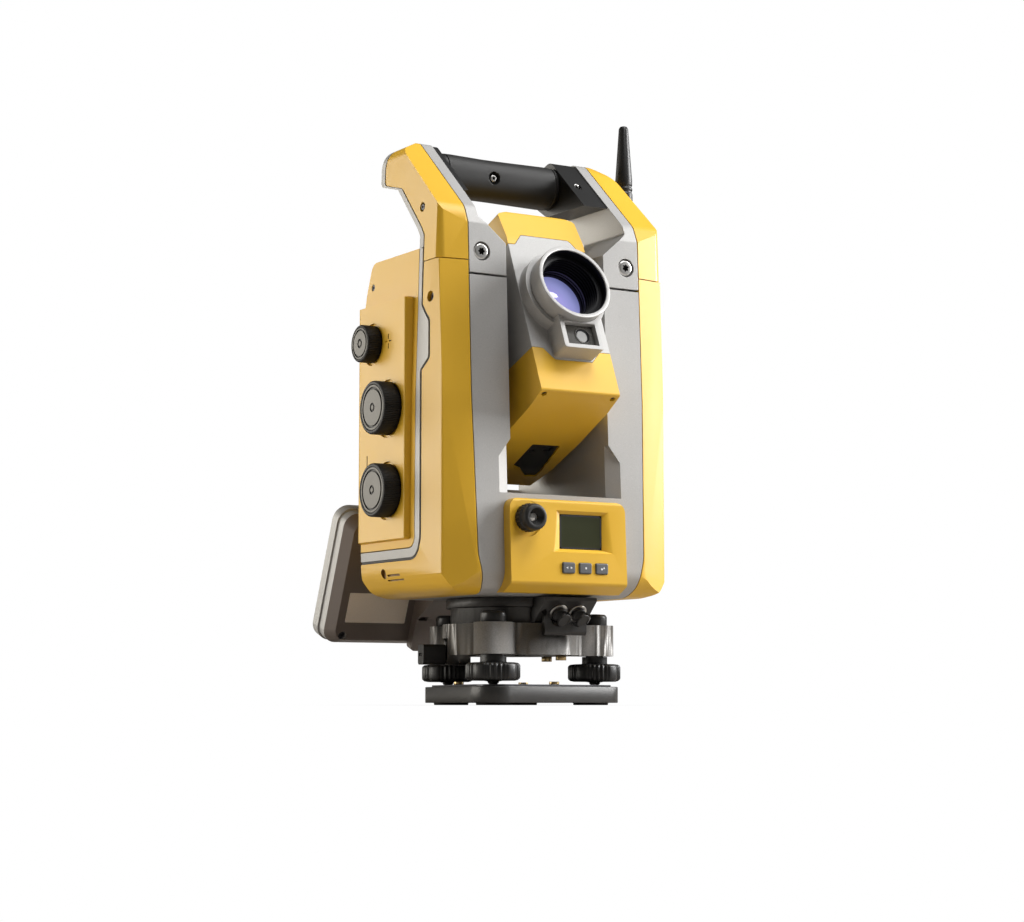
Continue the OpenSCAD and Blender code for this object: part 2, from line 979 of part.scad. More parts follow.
module grip_block(inner) {
    difference() {
        intersection() {
            handle_envelope(0.8, frame_side);
            block(inner, leg_in - 0.1, -99, 99, block_z, 450);
        }
        bar_y([47.5, -40, 363], 2.6, 39);
        along_x(box_outline(9, 19, 360, 370, 3), 0, leg_in - 3);
    }
}

module grip_blocks() {
    color(black) {
        grip_block(grip_right + 0.3);
        mirror([1, 0, 0])
            grip_block(0.3 - grip_left);
    }
}

module antenna() {
    color(black)
        translate([antenna_x, 4, 0])
            rotate_extrude()
                polygon([[0, 289], [3, 289], [3, 300.6], [8, 300.6], [8, 308], [6.6, 310], [6.3, 366],
                         [5.7, 367], [5.7, 368], [6.2, 368.6], [6.2, 370], [5.6, 370.6], [5.6, 371.6],
                         [6.1, 372.2], [6.1, 376], [3.4, 414], [2.4, 415.6], [0, 416]]);
}

// ---- telescope, drawn with its sight line along -Y and its trunnion axis through the origin ----
scope_side = [[-scope_front, -72.5, 2], [-48, -76, 0], [-7, -79.3, 60], [32, -80.2, 60], [61, -77.5, 6],
              [66, -70, 5], [66, 52, 6], [52, 66, 12], [20, 75, 40], [-30, 75, 40], [-59.6, 69.5, 4],
              [-scope_front, 45, 0]];
scope_face = both_sides([[scope_half, -90, 0], [scope_half, 66, 3], [16, 71.5, 30]]);
barrel_r = 24;

module in_telescope() {
    translate([0, 0, trunnion_z])
        rotate([-elevation, 0, 0])
            children();
}

module scope_envelope(d = 0) {
    intersection() {
        along_x(scope_side, -99, 99, d);
        along_y(scope_face, -99, 99, d);
    }
}

module upper_region(d = 0) {
    along_y([[-60, 38.5, 0], [-25.5, 39.5, 2], [-19, 47.8, 2], [19, 47.8, 2], [25.5, 39.5, 2], [60, 38.5, 0],
             [60, 120, 0], [-60, 120, 0]], -99, 99, d);
}

module lower_region(d = 0) {
    along_y([[-60, -120, 0], [60, -120, 0], [60, -40.2, 0], [22.5, -40.4, 2], [14.8, -48.6, 2],
             [-14.8, -48.6, 2], [-22.5, -40.4, 2], [-60, -40.2, 0]], -99, 99, d);
}

module scope_shell() {
    difference() {
        scope_envelope();
        scope_envelope(2.6);
    }
}

module upper_cover() {
    color(yellow)
        in_telescope()
            intersection() {
                scope_shell();
                upper_region(0.15);
            }
}

module lower_cover() {
    color(yellow)
        in_telescope()
            difference() {
                intersection() {
                    scope_shell();
                    lower_region(0.15);
                }
                sight_opening(0.2);
                for (x = [-27, 27])
                    bar_z([x, -60.5, -90], 2, 30);
            }
}

module telescope_shell() {
    color(grey)
        in_telescope()
            difference() {
                union() {
                    difference() {
                        scope_shell();
                        upper_region(-0.15);
                        lower_region(-0.15);
                    }
                    // collar around the objective and the surround of the aiming window
                    bar_y([0, -73.5, 0], 30.6, 11);
                    along_y([[-15.5, -47.5, 2], [15.5, -47.5, 2], [15.5, -20, 0], [-15.5, -20, 0]], -80, -63);
                }
                bar_y([0, -90, 0], barrel_r + run, 60);
                bar_y([0, -90, 0], objective_r + gap, 90 - 73.5);
                bar_y([0, 55, 0], 17 + run, 30);
                block(-12, 12, -90, -60, -44.6, -28.2);
                bar_x([-50, 0, 0], 20 + run, 100);
            }
}

module telescope_core() {
    color(dark)
        in_telescope()
            difference() {
                union() {
                    bar_y([0, -66, 0], barrel_r - 1, 122);
                    bar_x([-scope_half + 3, 0, 0], 19, 2 * scope_half - 6);
                    bar_x([-66, 0, 0], 17, 132);
                }
                bar_y([0, -70, 0], barrel_r - 4, 60);
                bar_y([0, -20, 0], 12, 70);
                bar_y([0, 40, 0], 10 + run, 30);
                bar_x([-70, 0, 0], 8, 34);
                bar_x([36, 0, 0], 8, 34);
            }
}

module elevation_drive() {
    color(dark)
        in_telescope()
            difference() {
                bar_x([50, 0, 0], 28, 9);
                bar_x([45, 0, 0], 17, 30);
            }
}

module objective_ring() {
    color(grey)
        in_telescope()
            difference() {
                union() {
                    bar_y([0, -86, 0], objective_r, 12.3);
                    bar_y([0, -80, 0], barrel_r, 14);
                }
                bar_y([0, -87, 0], objective_r - 2.9, 7);
                bar_y([0, -84, 0], barrel_r - 1.6, 20);
            }
}

module objective_lens() {
    color(glass)
        in_telescope()
            translate([0, -60, 0])
                rotate([90, 0, 0])
                    rotate_extrude()
                        polygon([[0, 0], [19.5, 0], [19.5, 3], [15, 5.2], [8, 6.9], [0, 7.5]]);
}

module aiming_window() {
    color(black)
        in_telescope()
            difference() {
                block(-11.8, 11.8, -77.6, -62, -44.4, -28.4);
                bar_y([2.5, -79, -36.2], 5.6, 3);
            }
}

module sight_opening(d = 0) {
    translate([0, 0, -99])
        linear_extrude(29)
            outline([[-3.6, -3, 1], [18, -3, 1], [25, 42, 2], [17, 43, 2], [5.7, 31, 0], [-2, 27.5, 1]], -d);
}

module coarse_sight() {
    color(black)
        in_telescope()
            difference() {
                intersection() {
                    scope_envelope(0.9);
                    sight_opening();
                    block(-40, 40, -60, 60, -90, -71);
                }
                bar_z([1.9, 7.6, -90], 2.2, 13);
                block(10, 15.4, 1.4, 6.4, -90, -77.5);
            }
}

module eyepiece() {
    flutes = 24;
    color(black)
        in_telescope()
            difference() {
                union() {
                    bar_y([0, 42, 0], 10, 26);
                    bar_y([0, 66.4, 0], 16, 12);
                    bar_y([0, 78, 0], 13, 12);
                }
                for (i = [0:flutes - 1])
                    rotate([0, 360 / flutes * i, 0])
                        bar_y([16.5, 68, 0], 1.1, 9);
                bar_y([0, 76, 0], 9, 20);
                bar_y([0, 30, 0], 6, 60);
            }
}

// ---- control unit, drawn upright with its back at y = 0 and then tilted ----
unit_at = [0, 86, 85.5];
back_d = 16;
front_d = 13;

module in_unit() {
    translate(unit_at)
        rotate([unit_tilt, 0, 0])
            children();
}

function unit_outline(d, r) =
    box_outline(d - unit_w / 2, unit_w / 2 - d, d - unit_h / 2, unit_h / 2 - d, r);

module unit_bracket() {
    color(dark) {
        difference() {
            union() {
                in_unit()
                    along_y(box_outline(-25, 25, -unit_h / 2 + 1, 6, 3), -7, -0.1);
                along_x([[50, 80, 0], [67.5, 71, 4], [90, 60, 0], [79, 88, 0], [58, 101, 4], [50, 99, 0]],
                        -25, 25);
            }
            in_unit()
                block(-99, 99, -0.1, 99, -99, 99);
            in_unit()
                block(-23, -16, -9, -3, -25, -16);
            envelope(-0.1);
        }
    }
}

module unit_back() {
    color([0.20, 0.18, 0.16])
        in_unit()
            difference() {
                hull() {
                    along_y(unit_outline(6, 8), 0, 0.5);
                    along_y(unit_outline(1.2, 10), 8, back_d);
                }
                along_y(unit_outline(5, 7), 4, back_d + 1);
                // label recess and screw wells
                block(-78, -30, -1, 0.6, -30, -8);
                for (x = [-78, 78], z = [-40, 40])
                    bar_y([x, -1, z], 3, 4);
            }
}

module unit_front() {
    color(grey)
        in_unit()
            difference() {
                hull() {
                    along_y(unit_outline(0, 11), back_d + 0.1, back_d + 8);
                    along_y(unit_outline(4, 9), back_d + front_d - 0.5, back_d + front_d);
                }
                along_y(unit_outline(4, 7), back_d - 1, back_d + front_d - 3.4);
                // screen and key openings
                along_y(box_outline(-76, 10, -20, 36, 3), 0, 60);
                along_y(box_outline(24, 78, -36, 36, 3), 0, 60);
                along_y(box_outline(-76, 10, -38, -26, 3), 0, 60);
            }
}

module unit_screen() {
    color([0.05, 0.06, 0.08])
        in_unit()
            along_y(box_outline(-75.6, 9.6, -19.6, 35.6, 2.6), back_d + front_d - 5, back_d + front_d - 1.4);
}

module unit_keypad() {
    color(dark)
        in_unit() {
            difference() {
                along_y(box_outline(24.4, 77.6, -35.6, 35.6, 2.6),
                        back_d + front_d - 5, back_d + front_d - 1);
                bar_y([51, 0, 22], 12.5, 60);
            }
            for (i = [0:2], j = [0:3])
                along_y(box_outline(27 + 17 * i, 41 + 17 * i, -34 + 11 * j, -26 + 11 * j, 2),
                        back_d + front_d - 1.2, back_d + front_d + 1);
            for (i = [0:4])
                along_y(box_outline(-75 + 17 * i, -61 + 17 * i, -36.5, -27.5, 2),
                        back_d + front_d - 5, back_d + front_d + 1);
        }
}

module unit_nav_key() {
    color(dark)
        in_unit()
            difference() {
                bar_y([51, back_d + front_d - 4, 22], 12, 6);
                bar_y([51, back_d + front_d + 1.4, 22], 4, 4);
            }
}

base_plate();
spring_plate();
tribrach_body();
tribrach_screws();
circular_level();
screw_caps();
foot_screw(0);  // foot_screw_1
foot_screw(1);  // foot_screw_2
foot_screw(2);  // foot_screw_3
lock_knob();
instrument_base();
spindle();
connector_block();
connector_sockets();
connector_caps();
yoke_casting();
azimuth_bearing();
azimuth_drive();
main_board();
trunnion_bearings();
left_cover();
right_cover();
drive_cover();
battery_cover();
battery_door();
battery();
seam_strips();
cover_gaskets();
focus_knob();
vertical_knob();
horizontal_knob();
display_panel();
display_glass();
panel_key(key_x[0]);  // left_key
panel_key(key_x[1]);  // middle_key
panel_key(key_x[2]);  // right_key
plummet_tube();
plummet_ring();
handle_frame();
handle_caps();
handle_screws();
grip();
grip_blocks();
antenna();
telescope_core();
telescope_shell();
upper_cover();
lower_cover();
elevation_drive();
objective_ring();
objective_lens();
aiming_window();
coarse_sight();
eyepiece();
unit_bracket();
unit_back();
unit_front();
unit_screen();
unit_keypad();
unit_nav_key();
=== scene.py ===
import json
import math

import bmesh
import bpy
from mathutils import Matrix, Vector


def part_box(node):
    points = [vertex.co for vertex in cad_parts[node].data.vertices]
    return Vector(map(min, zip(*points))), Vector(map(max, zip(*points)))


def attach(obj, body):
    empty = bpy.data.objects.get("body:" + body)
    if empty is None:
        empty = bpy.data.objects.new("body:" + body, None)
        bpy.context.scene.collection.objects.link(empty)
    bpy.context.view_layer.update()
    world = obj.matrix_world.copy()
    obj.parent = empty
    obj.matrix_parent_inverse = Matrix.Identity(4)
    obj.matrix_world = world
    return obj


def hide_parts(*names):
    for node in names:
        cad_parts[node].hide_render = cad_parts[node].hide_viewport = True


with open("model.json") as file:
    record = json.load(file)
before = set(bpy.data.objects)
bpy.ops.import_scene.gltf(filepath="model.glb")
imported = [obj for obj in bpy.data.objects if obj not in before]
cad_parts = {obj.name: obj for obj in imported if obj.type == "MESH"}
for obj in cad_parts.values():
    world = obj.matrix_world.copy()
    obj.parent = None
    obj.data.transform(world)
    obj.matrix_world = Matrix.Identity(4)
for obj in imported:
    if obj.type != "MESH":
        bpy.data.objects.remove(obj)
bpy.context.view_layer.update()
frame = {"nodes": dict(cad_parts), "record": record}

NODES = frame["nodes"]
JOINTS = {joint["name"]: joint for joint in frame["record"]["behaviour"]["joints"]}
MM = 0.001
QUARTER_TURN_X = Matrix.Rotation(math.radians(90), 4, "X")
SWAP_YZ = Matrix(((1, 0, 0, 0), (0, 0, 1, 0), (0, 1, 0, 0), (0, 0, 0, 1)))

# ---------------------------------------------------------------- materials

SLOW_SCALE = 14
WORN_EDGE = 0.0009


def new_material(name):
    material = bpy.data.materials.new(name)
    material.use_nodes = True
    return material, material.node_tree.nodes, material.node_tree.links


def principled(nodes):
    return next(n for n in nodes if n.type == "BSDF_PRINCIPLED")


def noise(nodes, links, coords, scale, detail):
    node = nodes.new("ShaderNodeTexNoise")
    node.inputs["Scale"].default_value = scale
    node.inputs["Detail"].default_value = detail
    node.inputs["Roughness"].default_value = 0.5
    links.new(coords.outputs["Object"], node.inputs["Vector"])
    return node


def ramp(nodes, links, source, stops):
    """Colour ramp whose stops are (place, colour) pairs."""
    node = nodes.new("ShaderNodeValToRGB")
    elements = node.color_ramp.elements
    while len(elements) < len(stops):
        elements.new(0.5)
    for element, (place, colour) in zip(elements, stops):
        element.position = place
        element.color = (*colour, 1)
    links.new(source, node.inputs["Fac"])
    return node


def mixed(nodes, links, kind, factor, first, second):
    """Blends two colours; each input is a socket or a plain value."""
    mix = nodes.new("ShaderNodeMixRGB")
    mix.blend_type = kind
    for socket, value in zip(mix.inputs, (factor, first, second)):
        if isinstance(value, bpy.types.NodeSocket):
            links.new(value, socket)
        else:
            socket.default_value = value
    return mix.outputs["Color"]


def scaled(colour, k):
    return tuple(min(1.0, c * k) for c in colour)


def painted(name, colour, rough, metallic, grain, grain_depth, mottle,
            sparkle=0.0, wear=0.0, coat=0.0, spec=0.5):
    """Moulded or painted surface: fine texture, slow colour variation and lighter worn edges."""
    material, nodes, links = new_material(name)
    shader = principled(nodes)
    coords = nodes.new("ShaderNodeTexCoord")
    slow = noise(nodes, links, coords, SLOW_SCALE, 4.0)
    tones = [(0.3, scaled(colour, 1 - mottle)), (0.7, scaled(colour, 1 + mottle))]
    out = ramp(nodes, links, slow.outputs["Fac"], tones).outputs["Color"]
    fine = noise(nodes, links, coords, grain, 2.0)
    if sparkle:
        tones = [(0.35, (1 - sparkle,) * 3), (0.68, (1 + sparkle,) * 3)]
        flakes = ramp(nodes, links, fine.outputs["Fac"], tones)
        out = mixed(nodes, links, "MULTIPLY", 1.0, out, flakes.outputs["Color"])
    if wear:
        bevel = nodes.new("ShaderNodeBevel")
        bevel.samples = 4
        bevel.inputs["Radius"].default_value = WORN_EDGE
        geometry = nodes.new("ShaderNodeNewGeometry")
        dot = nodes.new("ShaderNodeVectorMath")
        dot.operation = "DOT_PRODUCT"
        links.new(bevel.outputs["Normal"], dot.inputs[0])
        links.new(geometry.outputs["Normal"], dot.inputs[1])
        tones = [(0.80, (wear,) * 3), (0.99, (0.0,) * 3)]
        edge = ramp(nodes, links, dot.outputs["Value"], tones)
        out = mixed(nodes, links, "MIX", edge.outputs["Color"], out, (*scaled(colour, 1.5), 1))
    links.new(out, shader.inputs["Base Color"])
    tones = [(0.3, (rough * 0.9,) * 3), (0.7, (rough * 1.12,) * 3)]
    gloss = ramp(nodes, links, slow.outputs["Fac"], tones)
    links.new(gloss.outputs["Color"], shader.inputs["Roughness"])
    shader.inputs["Metallic"].default_value = metallic
    shader.inputs["Specular IOR Level"].default_value = spec
    shader.inputs["Coat Weight"].default_value = coat
    shader.inputs["Coat Roughness"].default_value = 0.25
    if grain_depth:
        bump = nodes.new("ShaderNodeBump")
        bump.inputs["Distance"].default_value = grain_depth
        links.new(fine.outputs["Fac"], bump.inputs["Height"])
        links.new(bump.outputs["Normal"], shader.inputs["Normal"])
    return material


def bare_metal(name, colour):
    """Smooth bare metal with slightly brighter edges."""
    return painted(name, colour, 0.30, 1.0, 5000, 0.0, 0.05, wear=0.1)


def coated_glowing_glass(name):
    """Dark lens with a violet coating that shifts to blue at a glancing angle, and a painted glow
    of the same colour.
    """
    material, nodes, links = new_material(name)
    shader = principled(nodes)
    facing = nodes.new("ShaderNodeLayerWeight")
    facing.inputs["Blend"].default_value = 0.5
    tones = [(0.0, (0.34, 0.28, 0.64)), (0.45, (0.24, 0.25, 0.52)), (0.9, (0.04, 0.06, 0.18))]
    tint = ramp(nodes, links, facing.outputs["Facing"], tones)
    coords = nodes.new("ShaderNodeTexCoord")
    haze = noise(nodes, links, coords, 60, 3.0)
    soft = ramp(nodes, links, haze.outputs["Fac"], [(0.3, (0.92,) * 3), (0.7, (1.0,) * 3)])
    colour = mixed(nodes, links, "MULTIPLY", 1.0, tint.outputs["Color"], soft.outputs["Color"])
    links.new(colour, shader.inputs["Base Color"])
    # the tint also drives emission: a painted glow that brightens the lens, though it is no lamp
    links.new(colour, shader.inputs["Emission Color"])
    shader.inputs["Emission Strength"].default_value = 1.1
    shader.inputs["Metallic"].default_value = 0.35
    shader.inputs["Roughness"].default_value = 0.06
    shader.inputs["Coat Weight"].default_value = 0.4
    shader.inputs["Coat Roughness"].default_value = 0.01
    return material


YELLOW = (0.74, 0.43, 0.024)
GREY = (0.40, 0.395, 0.385)
# after the colour: roughness, metallic, grain scale, grain depth, mottle, then sparkle, wear, coat
MATERIALS = {
    "yellow_cover": painted("yellow_paint", YELLOW, 0.40, 0.0, 2400, 0.00004, 0.03,
                            wear=0.10, coat=0.15),
    "grey_casting": painted("grey_metal_paint", GREY, 0.48, 0.25, 3200, 0.00003, 0.03, 0.10, 0.10),
    "grey_cover": painted("grey_plastic_paint", scaled(GREY, 1.04), 0.46, 0.2, 3200, 0.00003, 0.03,
                          0.10, 0.10),
    "black_casting": painted("black_cast_paint", (0.210, 0.204, 0.196), 0.46, 0.45, 2200, 0.00005,
                             0.1, 0.2, 0.15),
    "dark_metal": painted("dark_metal", (0.06, 0.06, 0.065), 0.32, 0.8, 3000, 0.00002, 0.1,
                          wear=0.3),
    "black_plastic": painted("black_plastic", (0.012, 0.012, 0.012), 0.38, 0.0, 2400, 0.00003,
                             0.08, wear=0.15, spec=0.35),
    "black_rubber": painted("black_rubber", (0.013, 0.0125, 0.012), 0.48, 0.0, 1900, 0.00006, 0.1,
                            spec=0.4),
    "bright_steel": bare_metal("bright_steel", (0.60, 0.59, 0.57)),
    "lens_glass": coated_glowing_glass("lens_glass"),
    "display_window": painted("display_window", (0.030, 0.034, 0.014), 0.30, 0.0, 900, 0.0, 0.1,
                              coat=0.1, spec=0.3),
    "grey_keys": painted("grey_keys", (0.105, 0.110, 0.118), 0.42, 0.0, 2600, 0.00004, 0.05,
                         wear=0.1),
    "unit_shell": painted("unit_shell", (0.180, 0.150, 0.133), 0.42, 0.1, 2300, 0.00005, 0.08,
                          wear=0.1),
    "circuit_board": painted("circuit_board", (0.02, 0.12, 0.05), 0.35, 0.0, 900, 0.00002, 0.2),
}
YELLOW_METAL = bare_metal("yellow_metal", (0.42, 0.31, 0.16))
KNOB_FACE = painted("knob_face", (0.100, 0.095, 0.086), 0.40, 0.45, 4200, 0.00002, 0.05, 0.12, 0.1)
# near-black: the real black of the display bezel, screen frame and level ring, and painted shade in
# the knobs' grooves and centre holes and in the screw sockets
BLACK_AND_RECESS_SHADE = painted("black_and_recess_shade", (0.008, 0.008, 0.008), 0.5, 0.0, 2000, 0.00002, 0.1)
# black of the objective's blackened baffles; in the aiming window it also paints the shade of the
# window's hole onto a flat disc
BAFFLE_BLACK_AND_HOLE_SHADE = painted("baffle_black_and_hole_shade", (0.004, 0.004, 0.005), 0.55, 0.0, 2000, 0.00002, 0.1, spec=0.15)
ICON = painted("icon_white", (0.75, 0.76, 0.76), 0.5, 0.0, 3000, 0.00001, 0.02)
PLATE = painted("plate_beige", (0.90, 0.80, 0.69), 0.45, 0.0, 3000, 0.00001, 0.04, 0.05)
WINDOW = painted("window_film", (0.12, 0.115, 0.105), 0.16, 0.6, 900, 0.0, 0.12, coat=0.6)
CRYSTAL = painted("clear_face", (0.62, 0.62, 0.61), 0.08, 0.5, 300, 0.0, 0.1, coat=1.0)
# dark amber for the marks cut into the covers: painted shade in these shallow recesses
PAINTED_MARK_SHADE = painted("shaded_yellow", (0.20, 0.095, 0.006), 0.5, 0.0, 2400, 0.00002, 0.05)
# a darker copy of the black cast paint for the low parts at the base: painted shade for the shade
# they sit in under the body
SHADED_CASTING_COPY = painted("shaded_cast_paint", (0.030, 0.029, 0.028), 0.40, 0.3, 2200, 0.00005, 0.1,
                       0.2, 0.15)
BUBBLE = painted("level_fluid", (0.35, 0.55, 0.10), 0.05, 0.0, 300, 0.0, 0.1, coat=1.0)

# ---------------------------------------------------------------- mesh helpers

SAME_POINT = 0.000002
SHARP = math.radians(32)
CORNER_STEPS = 4
SMALLEST_CORNER = 0.02
STRAIGHT = math.radians(88)


def add_bevel(obj, width, angle):
    soft = obj.modifiers.new("soft", "BEVEL")
    soft.width = width
    soft.segments = 2
    soft.limit_method = "ANGLE"
    soft.angle_limit = angle
    return soft


def finish_mesh(bm, name, body, slot, materials=None, bevel=0.0):
    """Turns a bmesh into a piece that rides on a body; its material is the slot's unless given."""
    bmesh.ops.remove_doubles(bm, verts=bm.verts, dist=SAME_POINT)
    bmesh.ops.recalc_face_normals(bm, faces=bm.faces)
    for face in bm.faces:
        face.smooth = True
    for edge in bm.edges:
        if len(edge.link_faces) == 2 and edge.calc_face_angle(0) > SHARP:
            edge.smooth = False
    mesh = bpy.data.meshes.new(name)
    bm.to_mesh(mesh)
    bm.free()
    for material in materials or [MATERIALS[slot]]:
        mesh.materials.append(material)
    piece = bpy.data.objects.new(name, mesh)
    bpy.context.scene.collection.objects.link(piece)
    if bevel:
        add_bevel(piece, bevel, SHARP)
        piece.modifiers.new("even", "WEIGHTED_NORMAL").keep_sharp = True
    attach(piece, body)
    return piece


def add_turned(bm, rings, place, segments):
    """Surface of revolution about local Z.

    A ring is (radius, height[, material]); a radius may depend on the angle.
    """
    loops = []
    for ring in rings:
        radius, height = ring[0], ring[1]
        if not callable(radius) and radius == 0:
            loops.append([bm.verts.new(place @ Vector((0, 0, height)))])
            continue
        loop = []
        for i in range(segments):
            a = 2 * math.pi * i / segments
            r = radius(a) if callable(radius) else radius
            loop.append(bm.verts.new(place @ Vector((r * math.cos(a), r * math.sin(a), height))))
        loops.append(loop)
    for ring, low, high in zip(rings, loops, loops[1:]):
        index = ring[2] if len(ring) > 2 else 0
        for i in range(segments):
            j = (i + 1) % segments
            corners = [low[i % len(low)], low[j % len(low)],
                       high[j % len(high)], high[i % len(high)]]
            unique = list(dict.fromkeys(corners))
            if len(unique) > 2:
                bm.faces.new(unique).material_index = index


def turned(name, rings, place, body, slot, materials=None, segments=96):
    bm = bmesh.new()
    add_turned(bm, rings, place, segments)
    return finish_mesh(bm, name, body, slot, materials)


def arc(centre, radius, start, end, steps=5):
    """Points on an arc in the (radius, height) plane, in degrees."""
    angles = [math.radians(start + (end - start) * k / steps) for k in range(steps + 1)]
    return [(centre[0] + radius * math.cos(a), centre[1] + radius * math.sin(a)) for a in angles]


def rounded(points):
    """An outline whose corners [x, y, radius] are rounded."""
    out = []
    for k, (x, y, r) in enumerate(points):
        b = Vector((x, y))
        u = (Vector(points[k - 1][:2]) - b).normalized()
        v = (Vector(points[(k + 1) % len(points)][:2]) - b).normalized()
        half = u.angle(v) / 2
        if r < SMALLEST_CORNER or half > STRAIGHT:
            out.append(b)
            continue
        reach = r / math.tan(half)
        centre = b + (u + v).normalized() * r / math.sin(half)
        first, last = b + u * reach - centre, b + v * reach - centre
        turn = first.angle_signed(last)
        out += [centre + Matrix.Rotation(-turn * i / CORNER_STEPS, 2) @ first
                for i in range(CORNER_STEPS + 1)]
    return out


def box_outline(x0, x1, y0, y1, r=0.0):
    return [(x0, y0, r), (x1, y0, r), (x1, y1, r), (x0, y1, r)]


def add_slab(bm, outline, low, high, place):
    """An outline raised from low to high along local Z."""
    points = rounded(outline)
    bottom = [bm.verts.new(place @ Vector((p.x, p.y, low))) for p in points]
    top = [bm.verts.new(place @ Vector((p.x, p.y, high))) for p in points]
    bm.faces.new(bottom)
    bm.faces.new(top)
    for i in range(len(points)):
        j = (i + 1) % len(points)
        bm.faces.new([bottom[i], bottom[j], top[j], top[i]])


def slab(name, outline, low, high, place, body, slot, material, bevel):
    bm = bmesh.new()
    add_slab(bm, outline, low, high, place)
    return finish_mesh(bm, name, body, slot, [material], bevel)


def placed(origin, axis, spin=0.0):
    """Millimetre frame at a point in metres, with local Z along axis."""
    turn = Vector(axis).to_track_quat("Z", "Y").to_matrix().to_4x4()
    spun = Matrix.Rotation(spin, 4, "Z")
    return Matrix.Translation(origin) @ turn @ spun @ Matrix.Scale(MM, 4)


def facing_front(origin):
    """Millimetre frame at a point in metres, with local Z forwards (-Y) and local Y up."""
    return Matrix.Translation(origin) @ QUARTER_TURN_X @ Matrix.Scale(MM, 4)


def middle(node):
    low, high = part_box(node)
    return (Vector(low) + Vector(high)) / 2


# ---------------------------------------------------------------- frames of the tilted groups

TRUNNION = Vector(JOINTS["telescope_tilt"]["pos_m"])
SIGHT_AXIS = Vector(JOINTS["eyepiece_focus"]["axis"])
ELEVATION = math.atan2(SIGHT_AXIS.z, -SIGHT_AXIS.y)
# local x to the right, y backwards along the sight line, z up across it
SCOPE_TILT = Matrix.Rotation(-ELEVATION, 4, "X")
SCOPE = Matrix.Translation(TRUNNION) @ SCOPE_TILT @ Matrix.Scale(MM, 4)
# the same frame turned so that local z points forwards, backwards or down
SCOPE_FRONT = SCOPE @ QUARTER_TURN_X
SCOPE_BACK = SCOPE @ Matrix.Rotation(math.radians(-90), 4, "X")
SCOPE_BELOW = SCOPE @ Matrix.Rotation(math.pi, 4, "X")

NAV_AXIS = Vector(JOINTS["unit_nav_key_press"]["axis"])
UNIT_TILT = math.atan2(-NAV_AXIS.z, -NAV_AXIS.y)
UNIT_TURN = Matrix.Rotation(UNIT_TILT, 4, "X")
NAV_CENTRE = Vector((51, 28, 22)) * MM
UNIT_ORIGIN = middle("unit_nav_key") - UNIT_TURN @ NAV_CENTRE
UNIT = Matrix.Translation(UNIT_ORIGIN) @ UNIT_TURN @ Matrix.Scale(MM, 4)
# local z towards the user behind the instrument, x to the user's left, y up
UNIT_FACE = UNIT @ SWAP_YZ
# local z towards the instrument, y up
UNIT_REAR = UNIT @ QUARTER_TURN_X

# ---------------------------------------------------------------- CAD nodes that stay

ROUND_NODES = ("tribrach_body", "instrument_base", "base_plate", "screw_caps", "objective_ring",
               "antenna", "spindle", "connector_sockets", "plummet_tube", "unit_nav_key",
               "tribrach_screws")
UNDISSOLVED_NODES = ("yoke_casting", "tribrach_body")
# parts that get the darker copy of the black cast paint, which paints in their shade
SHADED_CAST_NODES = ("connector_block", "instrument_base", "base_plate")
USUAL_BEVEL = 0.0005
BEVELS = {"cover_gaskets": 0.0001, "seam_strips": 0.0003, "coarse_sight": 0.0002,
          "display_glass": 0.0001, "left_key": 0.0008, "middle_key": 0.0008, "right_key": 0.0008,
          "unit_keypad": 0.0004, "connector_sockets": 0.0003, "spring_plate": 0.0002,
          "trunnion_bearings": 0.0002}
FLAT = math.radians(0.6)
CURVED = math.radians(20)
CAD_SHARP = math.radians(28)


def plane_faces(mesh):
    """Indices of the faces in planar regions that meet all their neighbours at an edge."""
    bm = bmesh.new()
    bm.from_mesh(mesh)
    index = bm.faces.layers.int.new("index")
    for face in bm.faces:
        face[index] = face.index
    bmesh.ops.remove_doubles(bm, verts=bm.verts, dist=SAME_POINT)
    found = set()
    seen = set()
    for start in bm.faces:
        if start in seen:
            continue
        seen.add(start)
        region, stack, plane = [], [start], True
        while stack:
            face = stack.pop()
            region.append(face[index])
            for edge in face.edges:
                if len(edge.link_faces) != 2:
                    continue
                angle = edge.calc_face_angle(0)
                if angle < FLAT:
                    other = next(f for f in edge.link_faces if f is not face)
                    if other not in seen:
                        seen.add(other)
                        stack.append(other)
                elif angle < CURVED:
                    plane = False
        if plane:
            found.update(region)
    bm.free()
    return found


def finish_cad(node, slot):
    """Gives a CAD node its slot's material, clean planar faces and softened edges."""
    obj = NODES[node]
    obj.data.materials.clear()
    obj.data.materials.append(MATERIALS[slot])
    flat_ones = set() if node in ROUND_NODES else plane_faces(obj.data)
    for polygon in obj.data.polygons:
        polygon.use_smooth = polygon.index not in flat_ones
        polygon.material_index = 0
    obj.modifiers.new("weld", "WELD").merge_threshold = SAME_POINT
    if node not in UNDISSOLVED_NODES:
        flat = obj.modifiers.new("flat", "DECIMATE")
        flat.decimate_type = "DISSOLVE"
        flat.angle_limit = FLAT
    soft = add_bevel(obj, BEVELS.get(node, USUAL_BEVEL), CAD_SHARP)
    if node in ROUND_NODES:
        soft.harden_normals = True
    else:
        obj.modifiers.new("even", "WEIGHTED_NORMAL").weight = 60


def paint_faces(node, material, chosen):
    """Gives a second material to the CAD faces that the test picks."""
    obj = NODES[node]
    obj.data.materials.append(material)
    for polygon in obj.data.polygons:
        if chosen(polygon):
            polygon.material_index = 1


for part in frame["record"]["subparts"]:
    if part["node"] in NODES:
        finish_cad(part["node"], part["material_slot"])
NODES["spring_plate"].data.materials[0] = MATERIALS["dark_metal"]
NODES["tribrach_screws"].data.materials[0] = YELLOW_METAL
# the base parts swap to the darker copy: painted shade
for shaded_node in SHADED_CAST_NODES:
    NODES[shaded_node].data.materials[0] = SHADED_CASTING_COPY

